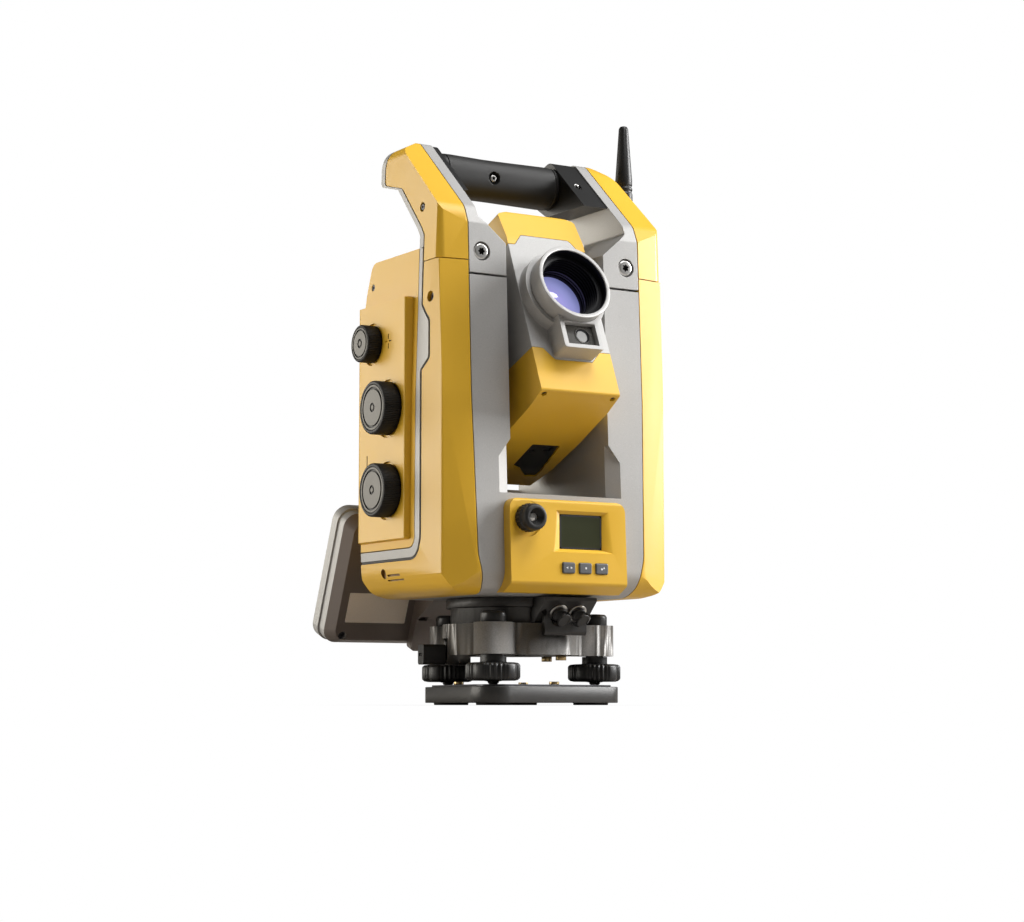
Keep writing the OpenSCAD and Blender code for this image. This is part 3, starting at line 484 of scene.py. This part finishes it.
KNOBS = ("focus_knob", "vertical_knob", "horizontal_knob")
KNOB_WELL_RADIUS = 0.0208
PANEL_MARK_X = (-0.0969, -0.0958)
PANEL_MARK_Y = (-0.02, 0.035)
TETHER_MARK_X = -0.085
TETHER_MARK_Y = (-0.006, 0.0231)
TETHER_MARK_Z = (0.082, 0.0912)


def between(value, span):
    return span[0] < value < span[1]


def in_panel_mark(face):
    """Faces of the small marks cut into the knob panel, away from the knobs' wells; they get
    painted shade.
    """
    spots = [JOINTS[knob_node + "_turn"]["pos_m"] for knob_node in KNOBS]
    near = min(math.hypot(face.center.y - spot[1], face.center.z - spot[2]) for spot in spots)
    sunken = between(face.center.x, PANEL_MARK_X)
    return sunken and near > KNOB_WELL_RADIUS and between(face.center.y, PANEL_MARK_Y)


def in_tether_mark(face):
    """Faces of the eye and slots cut into the foot of the left cover; they get painted shade."""
    spot = face.center
    square = face.normal.x < -0.999 or abs(face.normal.x) < 0.05
    inside = between(spot.y, TETHER_MARK_Y) and between(spot.z, TETHER_MARK_Z)
    return square and spot.x < TETHER_MARK_X and inside


UNIT_FORWARDS = UNIT_TURN @ Vector((0, -1, 0))


def on_unit_rim(face):
    """Faces of the control unit's back shell that run round its edge."""
    return abs(face.normal.dot(UNIT_FORWARDS)) < 0.3


paint_faces("unit_back", MATERIALS["grey_cover"], on_unit_rim)
# the marks cut into the knob panel and the left cover's foot get painted shade
paint_faces("drive_cover", PAINTED_MARK_SHADE, in_panel_mark)
paint_faces("left_cover", PAINTED_MARK_SHADE, in_tether_mark)

# ---------------------------------------------------------------- drive knobs

KNOB_LENGTH = 0.0143


def ribbed(radius, count, depth):
    """A radius with rounded ribs."""
    return lambda a: radius - depth * (0.5 - 0.5 * math.cos(count * a)) ** 2


def knob(node, ribs):
    """Knurled rubber rim round a recessed grey disc with turned grooves and a centre hole."""
    joint = JOINTS[node + "_turn"]
    low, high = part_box(node)
    radius = (high[2] - low[2]) / 2 / MM
    base = high[0] - KNOB_LENGTH
    place = placed((base, joint["pos_m"][1], joint["pos_m"][2]), joint["axis"])
    reach = (base - low[0]) / MM
    edge = ribbed(radius, ribs, 0.55)
    shoulder = ribbed(radius - 0.35, ribs, 0.45)
    lip = reach - 0.05
    rim_in = radius * 0.86
    rings = [(4, -13.5), (4, 0.2), (radius - 1.4, 0.4), (radius - 0.5, 0.8),
             (edge, 1.4), (edge, reach - 1.1), (shoulder, reach - 0.45), (radius - 1.1, lip),
             (rim_in + 0.4, lip), (rim_in, lip - 0.3), (rim_in, lip - 1.2), (0, lip - 1.2)]
    rim = turned(node + "_rim", rings, place, node, "black_rubber", segments=ribs * 6)
    ring_out, ring_in = rim_in - 0.25, radius * 0.76
    disc = radius * 0.69
    face = lip - 0.25
    # index 1 covers the groove's walls and floor and the centre hole: near-black painted shade in
    # these recesses
    rings = [(0, lip - 1.25), (ring_out, lip - 1.25), (ring_out, face),
             (ring_out - 0.25, face + 0.12), (ring_in + 0.25, face + 0.12), (ring_in, face, 1),
             (ring_in, face - 0.7, 1), (disc, face - 0.7, 1), (disc, face - 0.1),
             (disc - 0.3, face + 0.1), (3.2, face + 0.05, 1), (3.1, face - 0.6, 1),
             (2.0, face - 0.6, 1), (1.9, face - 0.1), (1.6, face + 0.1), (0, face + 0.1)]
    turned(node + "_disc", rings, place, node, "bright_steel", [KNOB_FACE, BLACK_AND_RECESS_SHADE])
    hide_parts(node)


# ---------------------------------------------------------------- optical plummet eyepiece


def plummet_cup():
    """Ribbed focusing ring with a deep rubber cup, and the small lens inside it."""
    joint = JOINTS["plummet_focus"]
    low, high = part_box("plummet_ring")
    place = placed((joint["pos_m"][0], high[1], joint["pos_m"][2]), joint["axis"])
    depth = (high[1] - low[1]) / MM
    outer = (high[0] - low[0]) / 2 / MM
    grip = ribbed(outer, 22, 0.9)
    cup = outer - 0.7
    rings = [(6.1, 0), (outer - 0.6, 0), (grip, 0.7), (grip, 5.6), (outer - 0.9, 6.3),
             (cup - 0.5, 6.9), (cup, 7.6), (cup, depth - 2.2)]
    rings += arc((cup - 2.2, depth - 2.2), 2.2, 0, 90)
    rings += [(cup - 3.0, depth - 0.15), (4.4, depth - 2.4), (3.1, depth - 3.6),
              (2.9, depth - 4.4), (2.9, 1), (6.1, 1), (6.1, 0)]
    piece = turned("plummet_cup", rings, place, "plummet_ring", "black_rubber", segments=132)
    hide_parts("plummet_ring")
    rings = [(0, 1.2), (2.85, 1.2), (2.85, depth - 4.6), (2.2, depth - 4.2), (0, depth - 4.0)]
    turned("plummet_lens", rings, place, "plummet_ring", "lens_glass", [CRYSTAL], 48)


# ---------------------------------------------------------------- screws

SOCKET_SHARE = 0.48
SOCKET_DENT = 0.3


def star(radius):
    """Radius of a six-lobed socket."""
    return lambda a: radius * (1 - SOCKET_DENT * (0.5 - 0.5 * math.cos(6 * a)))


def screw_head(bm, place, radius, height):
    """Rounded head with a six-lobed socket; its underside lies in the local plane z = 0."""
    socket = radius * SOCKET_SHARE
    rings = [(0, 0), (radius, 0), (radius, height * 0.55)]
    rings += arc((radius - height * 0.45, height * 0.55), height * 0.45, 15, 90, 4)
    # index 1 covers the socket's walls and floor: near-black painted shade inside the socket
    rings += [(star(socket + 0.12), height), (star(socket), height - 0.12, 1),
              (star(socket), height * 0.2, 1), (socket * 0.55, height * 0.12, 1),
              (0, height * 0.12)]
    add_turned(bm, rings, place, 48)


def screws(name, spots, radius, height, body, material=MATERIALS["bright_steel"]):
    """Screw heads as one piece, each turned a little further than the one before."""
    bm = bmesh.new()
    for k, spot in enumerate(spots):
        screw_head(bm, spot @ Matrix.Rotation(0.4 * k, 4, "Z"), radius, height)
    return finish_mesh(bm, name, body, "bright_steel", [material, BLACK_AND_RECESS_SHADE])


def handle_screws():
    """The two screws that hold the handle's legs, with their shafts."""
    low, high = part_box("handle_screws")
    height = (low[2] + high[2]) / 2
    across = high[0] - 0.0056
    front = low[1] + 0.0031
    spots = [placed((side * across, front, height), (0, -1, 0)) for side in (-1, 1)]
    piece = screws("torx_screws", spots, 5.5, 3.0, "alidade")
    bm = bmesh.new()
    for spot in spots:
        add_turned(bm, [(0, -22), (2.9, -22), (2.9, 0.2), (0, 0.2)], spot, 32)
    finish_mesh(bm, "torx_shafts", "alidade", "bright_steel")
    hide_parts("handle_screws")


# ---------------------------------------------------------------- telescope


def objective():
    """Blackened baffles that step inwards, and a domed, coated front lens behind them."""
    depth = 80.2
    bore = 22.3
    baffles = [(24.45, 85.4), (24.45, 80.15), (bore, 80.15)]
    while depth > 62.5:
        baffles += [(bore, depth - 0.3), (bore - 1.3, depth - 0.6), (bore - 1.3, depth - 0.9),
                    (bore, depth - 2.2)]
        depth -= 2.2
        bore -= 0.22
    baffles += [(bore, 61.2), (19.4, 61.2), (19.4, 45), (23.0, 45)]
    turned("objective_baffles", baffles, SCOPE_FRONT, "telescope", "black_plastic", [BAFFLE_BLACK_AND_HOLE_SHADE], 128)
    front = 59.5
    radius = 19.3
    bulge = 5.2
    dome = [(radius * (1 - k / 8), front + bulge * (1 - (1 - k / 8) ** 2)) for k in range(8)]
    rings = [(0, 50), (radius, 50)] + dome + [(0, front + bulge)]
    lens = turned("front_lens", rings, SCOPE_FRONT, "telescope", "lens_glass")
    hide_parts("objective_lens")


def aiming_window():
    """Sunken plate with a ringed round window, a small lens and a bar in it."""
    plate = 76.4
    slab("window_plate", box_outline(-11.6, 11.6, -44.2, -28.6, 0.6), 62, plate, SCOPE_FRONT,
         "telescope", "black_plastic", WINDOW, 0.0002)
    hole = SCOPE_FRONT @ Matrix.Translation((2.6, -36.0, 0))
    # the ring's inner disc takes the baffle black (index 1): a flat sheet painted with the hole's
    # shade, with the lens set off-centre on it
    rings = [(0, plate - 1), (6.0, plate - 1), (6.0, plate + 0.1), (5.7, plate + 0.35),
             (5.5, plate + 0.35), (5.3, plate + 0.1, 1), (0, plate + 0.1)]
    ring = turned("window_ring", rings, hole, "telescope", "black_plastic", [KNOB_FACE, BAFFLE_BLACK_AND_HOLE_SHADE], 64)
    bm = bmesh.new()
    lens = hole @ Matrix.Translation((-0.9, -0.8, plate))
    add_turned(bm, [(0, 0), (4.2, 0), (4.2, 0.35), (3.9, 0.6), (0, 0.7)], lens, 64)
    bar = lens @ Matrix.Rotation(math.radians(40), 4, "Z")
    add_slab(bm, box_outline(-3.7, 3.7, -0.35, 0.35, 0.1), 0.5, 0.95, bar)
    finish_mesh(bm, "window_lens", "telescope", "lens_glass", [CRYSTAL])
    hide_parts("aiming_window")


def scope_screws():
    """Screws in the wells at the underside's front corners."""
    spots = [SCOPE_BELOW @ Matrix.Translation((x, 60.5, 71.6)) for x in (-27, 27)]
    screws("scope_corner_screws", spots, 1.5, 0.9, "telescope", MATERIALS["dark_metal"])


def sight_insert():
    """Small peep windows of the coarse sight."""
    bm = bmesh.new()
    add_turned(bm, [(0, 73), (1.9, 73), (1.9, 76.6), (1.4, 77.0), (0, 77.1)],
               SCOPE_BELOW @ Matrix.Translation((1.9, -7.6, 0)), 32)
    add_slab(bm, box_outline(10.3, 15.1, -6.1, -1.7, 0.5), 73, 77.0, SCOPE_BELOW)
    finish_mesh(bm, "sight_windows", "telescope", "lens_glass", [CRYSTAL])


def eyepiece():
    """Focusing ring, dioptre ring and rubber eyecup with an eye lens."""
    grip = ribbed(16, 44, 0.7)
    small = ribbed(13, 60, 0.35)
    rings = [(9.9, 42.2), (9.9, 66.5), (14.6, 66.5), (grip, 67.6), (grip, 76.6), (15.0, 77.6),
             (13.2, 78.0), (small, 78.6), (small, 82.8), (12.4, 83.4), (12.4, 84.0),
             (12.8, 84.8), (12.9, 88.6)]
    rings += arc((11.7, 88.7), 1.2, 0, 180)
    rings += [(10.2, 87.6), (8.4, 80), (7.8, 79.2), (7.8, 76), (6.2, 76), (6.2, 42.2), (9.9, 42.2)]
    piece = turned("focusing_eyepiece", rings, SCOPE_BACK, "eyepiece", "black_rubber",
                   segments=264)
    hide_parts("eyepiece")
    rings = [(0, 74), (7.7, 74), (7.7, 77.0), (4, 78.2), (0, 78.6)]
    turned("eye_lens", rings, SCOPE_BACK, "eyepiece", "lens_glass", segments=48)


# ---------------------------------------------------------------- display side

DOT = None
KEY_MARKS = {"left_key": [(-1.7, 0, 180), (1.7, 0, 0)], "middle_key": [(0, 0, DOT)],
             "right_key": [(-0.5, -0.3, DOT), (1.3, 0.7, 90)]}


def key_icons():
    """Generic marks on the keys: two arrowheads, a dot, and a dot with an arrowhead."""
    for node, marks in KEY_MARKS.items():
        low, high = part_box(node)
        face = facing_front(((low[0] + high[0]) / 2, low[1], (low[2] + high[2]) / 2))
        bm = bmesh.new()
        for x, y, turn in marks:
            spot = face @ Matrix.Translation((x, y, 0))
            if turn is DOT:
                dot = [(0, -0.3), (0.75, -0.3), (0.75, 0.05), (0.6, 0.1), (0, 0.1)]
                add_turned(bm, dot, spot, 24)
            else:
                arrow = [(-0.7, -0.8, 0), (0.8, 0, 0), (-0.7, 0.8, 0)]
                spot = spot @ Matrix.Rotation(math.radians(turn), 4, "Z")
                add_slab(bm, arrow, -0.3, 0.08, spot)
        finish_mesh(bm, node + "_icon", node, "grey_keys", [ICON])


def display():
    """Black bezel round the edge of the display window."""
    low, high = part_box("display_glass")
    gap = 0.1
    x0, x1 = low[0] / MM + gap, high[0] / MM - gap
    z0, z1 = low[2] / MM + gap, high[2] / MM - gap
    face = facing_front((0, low[1], 0))
    bm = bmesh.new()
    for outline in (box_outline(x0, x1, z1 - 1.2, z1), box_outline(x0, x1, z0, z0 + 1.0),
                    box_outline(x0, x0 + 1.1, z0, z1), box_outline(x1 - 1.1, x1, z0, z1)):
        add_slab(bm, outline, -0.3, 0.06, face)
    finish_mesh(bm, "display_bezel", "alidade", "display_window", [BLACK_AND_RECESS_SHADE])


def cover_screws():
    """Screws at the bottom of the round wells in the covers, handle caps, grip and grip block."""
    side = [((-0.0872, -0.0436, 0.2675), (-1, 0, 0)), ((0.0872, -0.0436, 0.2675), (1, 0, 0)),
            ((-0.0885, 0.0355, 0.285), (-1, 0, 0)),
            ((-0.0869, -0.0295, 0.33), (-1, 0, 0)), ((0.0869, -0.0295, 0.33), (1, 0, 0))]
    screws("cover_screws", [placed(p, a) for p, a in side], 2.3, 1.2, "alidade",
           MATERIALS["dark_metal"])
    front = [(-0.0144, 0.0022, 0.364), (0.0475, -0.0085, 0.363)]
    screws("grip_screws", [placed(p, (0, -1, 0)) for p in front], 2.4, 1.4, "alidade")


# ---------------------------------------------------------------- levelling base

LOBES = 5
RIBS_PER_LOBE = 7


def scallop(radius):
    """A radius with deep valleys between lobes and fine grooves along them."""
    def outline(a):
        valley = 0.5 - 0.5 * math.tanh(6 * (math.cos(LOBES * a) - 0.45))
        return radius - valley * (1.1 + 0.45 * math.cos(LOBES * RIBS_PER_LOBE * a))
    return outline


def foot_screws():
    """Scalloped knobs with fine grooves between the lobes, on spindles with a ball foot."""
    for letter, node in zip("abc", ("foot_screw_1", "foot_screw_2", "foot_screw_3")):
        body = "foot_screw_" + letter
        joint = JOINTS[body + "_turn"]
        low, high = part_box(node)
        place = placed((joint["pos_m"][0], joint["pos_m"][1], 0), (0, 0, 1), 0.5)
        outer = (high[0] - low[0]) / 2 / MM
        rings = [(0, 15.6), (4.6, 15.6), (6.5, 16.0), (outer - 4.0, 16.0),
                 (scallop(outer - 1.6), 16.5), (scallop(outer - 0.3), 17.6),
                 (scallop(outer), 18.6), (scallop(outer), 25.9), (scallop(outer - 0.5), 26.9),
                 (scallop(outer - 1.6), 27.7), (outer - 4.4, 28.0), (9.4, 28.0), (8.7, 28.5),
                 (8.7, 33.0), (6, 33.1), (6, 54), (0, 54)]
        piece = turned(body + "_knob", rings, place, body, "black_plastic", segments=288)
        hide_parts(node)
        rings = [(0, 13.76), (2.6, 13.76), (3.4, 14.3), (3.7, 15.0), (4.1, 15.3), (3.5, 15.6),
                 (0, 15.7)]
        turned(body + "_foot", rings, place, body, "bright_steel", segments=48)


def circular_level():
    """Ringed glass cap with the fluid and a centred bubble under it."""
    centre = middle("circular_level")
    low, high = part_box("circular_level")
    place = placed((centre[0], centre[1], low[2]), (0, 0, 1))
    top = (high[2] - low[2]) / MM
    rings = [(0, 0), (9, 0), (9, top - 1.4), (8.4, top - 0.5), (7.6, top - 0.1),
             (6.6, top - 0.4), (6.2, top - 1.2), (6.2, top - 1.6), (0, top - 1.6)]
    housing = turned("level_housing", rings, place, "tribrach", "bright_steel", segments=64)
    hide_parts("circular_level")
    rings = [(0, top - 1.7), (6.1, top - 1.7), (6.1, top - 1.1), (3, top - 0.75), (0, top - 0.65)]
    turned("level_glass", rings, place, "tribrach", "lens_glass", [BUBBLE], 64)
    rings = [(2.5, top - 0.78), (2.5, top - 0.66), (2.8, top - 0.64), (2.8, top - 0.8),
             (2.5, top - 0.78)]
    turned("level_mark", rings, place, "tribrach", "lens_glass", [BLACK_AND_RECESS_SHADE], 48)
    rings = [(0, top - 0.7), (1.9, top - 0.7), (1.6, top - 0.5), (0, top - 0.45)]
    turned("level_bubble", rings, place, "tribrach", "lens_glass", [ICON], 32)


def connector_caps():
    """Rubber plugs in their sockets, each with a looped strap and a round tab in front of it."""
    low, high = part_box("connector_sockets")
    socket_radius = 6.6
    left = low[0] / MM + socket_radius
    right = left + (high[0] - low[0]) / MM - 2 * socket_radius
    bm = bmesh.new()
    for x in (left, right):
        # local z points out of the socket, x to the right, y up and forwards
        turn = Matrix.Rotation(math.radians(135), 4, "X") @ Matrix.Rotation(math.pi, 4, "Z")
        port = Matrix.Translation((x * MM, -0.051, 0.062)) @ turn @ \
            Matrix.Scale(-1, 4, (1, 0, 0)) @ Matrix.Scale(MM, 4)
        rings = [(0, -2.5), (3.9, -2.5), (3.9, 1.3), (4.9, 1.3), (5.2, 1.7), (5.2, 3.2)]
        rings += arc((4.4, 3.2), 0.8, 0, 90, 4) + [(3.6, 4.0), (3.3, 3.6), (0, 3.4)]
        add_turned(bm, rings, port, 64)
        strap = [(3.8, 1.6, 0), (6.0, 2.6, 1.2), (7.2, 5.4, 2.0), (6.6, 8.2, 1.6), (4.4, 9.6, 0),
                 (3.9, 8.9, 0), (5.6, 7.6, 1.2), (6.1, 5.4, 1.6), (5.2, 3.6, 0.9), (3.6, 2.8, 0)]
        add_slab(bm, strap, -2.3, 2.3, port @ SWAP_YZ)
        lean = Matrix.Rotation(math.radians(8), 4, "Y")
        tab = port @ Matrix.Translation((0.4, -0.6, 8.2)) @ lean
        rings = [(0, 0), (4.7, 0), (5.0, 0.3), (5.0, 1.0), (4.6, 1.4), (0, 1.5)]
        add_turned(bm, rings, tab, 48)
        tongue = tab @ Matrix.Rotation(-0.5, 4, "Z")
        add_slab(bm, box_outline(-1.2, 1.2, -7.0, -4.2, 0.6), 0.2, 1.2, tongue)
    piece = finish_mesh(bm, "rubber_connector_caps", "tribrach", "black_rubber", bevel=0.0002)
    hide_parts("connector_caps")


# ---------------------------------------------------------------- carrying handle

GRIP_CORNER = 2.35
GRIP_SEGMENTS = 192
GRIP_WELL = (-14.4, 364.0)
GRIP_WELL_DEPTH = 3.4
GRIP_WELL_RADIUS = 4.5
GRIP_WELL_EDGE = 0.6


def handle_grip():
    """Moulded grip with softly swelling ends, a parting groove and a round well for its screw."""
    low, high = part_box("grip")
    centre = middle("grip")
    half, across, up = ((high[k] - low[k]) / 2 / MM for k in range(3))
    place = Matrix.Translation(centre) @ Matrix.Scale(MM, 4)
    ends = [(0, 0.0), (0, 0.93), (0.8, 0.965), (2.6, 0.985), (3.0, 0.955), (3.5, 0.955),
            (3.9, 0.99), (9, 0.995)]
    well = (GRIP_WELL[0] - centre.x / MM, GRIP_WELL[1] - centre.z / MM)
    stations = [(x - half, k) for x, k in ends]
    stations += [(well[0] + 0.5 * i, 0.96) for i in range(-11, 12)]
    stations += [(half - x, k) for x, k in reversed(ends)]
    bm = bmesh.new()
    loops = []
    for x, k in stations:
        loop = []
        for i in range(GRIP_SEGMENTS):
            a = 2 * math.pi * i / GRIP_SEGMENTS
            c, s = math.cos(a), math.sin(a)
            r = (abs(c) ** GRIP_CORNER + abs(s) ** GRIP_CORNER) ** (-1 / GRIP_CORNER)
            y, z = across * k * r * c, up * k * r * s
            if c < 0:
                near = math.hypot(x - well[0], z - well[1])
                sunk = min(1.0, max(0.0, (GRIP_WELL_RADIUS - near) / GRIP_WELL_EDGE))
                y += GRIP_WELL_DEPTH * sunk
            loop.append(bm.verts.new(place @ Vector((x, y, z))))
        loops.append(loop)
    for first, second in zip(loops, loops[1:]):
        for i in range(GRIP_SEGMENTS):
            j = (i + 1) % GRIP_SEGMENTS
            bm.faces.new([first[i], first[j], second[j], second[i]])
    piece = finish_mesh(bm, "moulded_grip", "alidade", "black_rubber")
    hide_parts("grip")


# ---------------------------------------------------------------- control unit

UNIT_FRONT = 29.0


def control_unit():
    """Blank rating plate and screws on the instrument's side, dark screen frame on the other."""
    slab("rating_plate", box_outline(-78, -30, -30, -8, 1.2), -0.5, -0.05, UNIT_REAR,
         "alidade", "unit_shell", PLATE, 0.0001)
    spots = [UNIT_REAR @ Matrix.Translation((x, z, -2.6)) for x in (-78, 78) for z in (-40, 40)]
    screws("unit_screws", spots, 2.6, 1.4, "alidade", MATERIALS["dark_metal"])
    bm = bmesh.new()
    for x0, x1, y0, y1 in ((-76.2, 10.2, 34.6, 36.2), (-76.2, 10.2, -20.2, -18.6),
                           (-76.2, -74.6, -19, 35), (8.6, 10.2, -19, 35)):
        outline = box_outline(x0, x1, y0, y1, 0.3)
        add_slab(bm, outline, UNIT_FRONT - 2.2, UNIT_FRONT - 0.9, UNIT_FACE)
    finish_mesh(bm, "unit_display_frame", "alidade", "display_window", [BLACK_AND_RECESS_SHADE], 0.0002)


# ---------------------------------------------------------------- pieces

knob("focus_knob", 66)
knob("vertical_knob", 92)
knob("horizontal_knob", 92)
plummet_cup()
handle_screws()
objective()
aiming_window()
scope_screws()
sight_insert()
eyepiece()
key_icons()
display()
cover_screws()
foot_screws()
circular_level()
connector_caps()
handle_grip()
control_unit()

# ---------------------------------------------------------------- stage, lights and camera


def pick_for_camera(nodes, links, usual, seen, output):
    """Sends one shader to the camera and another to every other ray."""
    rays = nodes.new("ShaderNodeLightPath")
    pick = nodes.new("ShaderNodeMixShader")
    links.new(rays.outputs["Is Camera Ray"], pick.inputs["Fac"])
    links.new(usual, pick.inputs[1])
    links.new(seen, pick.inputs[2])
    links.new(pick.outputs["Shader"], output.inputs["Surface"])


def pale_floor():
    """Disc that the camera sees as even white with painted contact shadows; it bounces little
    light.
    """
    mesh = bpy.data.meshes.new("floor")
    floor = bpy.data.objects.new("floor", mesh)
    bpy.context.scene.collection.objects.link(floor)
    bm = bmesh.new()
    bmesh.ops.create_circle(bm, cap_ends=True, segments=128, radius=6.0)
    bm.to_mesh(mesh)
    bm.free()
    material, nodes, links = new_material("pale_floor")
    glow = nodes.new("ShaderNodeEmission")
    glow.inputs["Strength"].default_value = 1.0
    # ambient occlusion darkens the camera's white near the object: painted contact shadows, not
    # cast by the lamps
    shade = nodes.new("ShaderNodeAmbientOcclusion")
    shade.inputs["Distance"].default_value = 0.09
    links.new(shade.outputs["Color"], glow.inputs["Color"])
    shader = principled(nodes)
    shader.inputs["Base Color"].default_value = (0.4, 0.37, 0.34, 1)
    shader.inputs["Roughness"].default_value = 0.9
    pick_for_camera(nodes, links, shader.outputs["BSDF"], glow.outputs["Emission"],
                    nodes["Material Output"])
    mesh.materials.append(material)


def studio():
    """White backdrop for the camera and a faint warm light for everything else."""
    world = bpy.data.worlds.new("studio")
    bpy.context.scene.world = world
    world.use_nodes = True
    nodes = world.node_tree.nodes
    backdrop = nodes.new("ShaderNodeBackground")
    backdrop.inputs["Color"].default_value = (1, 1, 1, 1)
    backdrop.inputs["Strength"].default_value = 1.0
    ambient = nodes["Background"]
    ambient.inputs["Color"].default_value = (1.0, 0.985, 0.96, 1)
    ambient.inputs["Strength"].default_value = 0.10
    pick_for_camera(nodes, world.node_tree.links, ambient.outputs["Background"],
                    backdrop.outputs["Background"], nodes["World Output"])


def area_light(name, place, aim, size, power, colour=(1, 1, 1)):
    data = bpy.data.lights.new(name, "AREA")
    data.shape = "RECTANGLE"
    data.size, data.size_y = size
    data.energy = power
    data.color = colour
    light = bpy.data.objects.new(name, data)
    bpy.context.scene.collection.objects.link(light)
    light.location = place
    light.rotation_euler = (Vector(aim) - Vector(place)).to_track_quat("-Z", "Y").to_euler()


CENTRE = (0, 0, 0.22)
CAMERA_AZIMUTH = math.radians(31.75)
CAMERA_PITCH = math.radians(5.9)
CAMERA_DISTANCE = 1.612
CAMERA_HEIGHT = 0.0007
CAMERA_LENS = 82.69

pale_floor()
bpy.context.scene.view_settings.view_transform = "Standard"
studio()
area_light("left_rear_softbox", (-1.0, 1.5, 0.35), CENTRE, (0.9, 1.5), 15, (1.0, 0.96, 0.87))
area_light("left_softbox", (-1.55, 0.75, 0.29), (0, 0, 0.15), (0.9, 0.55), 13, (1.0, 0.96, 0.88))
area_light("right_softbox", (1.5, -0.55, 0.85), CENTRE, (0.6, 1.0), 50)
area_light("top_softbox", (0.3, -0.7, 1.7), CENTRE, (0.9, 0.9), 22)

camera_data = bpy.data.cameras.new("camera")
camera = bpy.data.objects.new("camera", camera_data)
bpy.context.scene.collection.objects.link(camera)
camera_data.sensor_width = 36.0
camera_data.lens = CAMERA_LENS
along = Vector((math.sin(CAMERA_AZIMUTH), math.cos(CAMERA_AZIMUTH), 0))
camera.location = -CAMERA_DISTANCE * along + Vector((0, 0, CAMERA_HEIGHT))
gaze = along * math.cos(CAMERA_PITCH) + Vector((0, 0, math.sin(CAMERA_PITCH)))
camera.rotation_euler = gaze.to_track_quat("-Z", "Y").to_euler()
bpy.context.scene.camera = camera
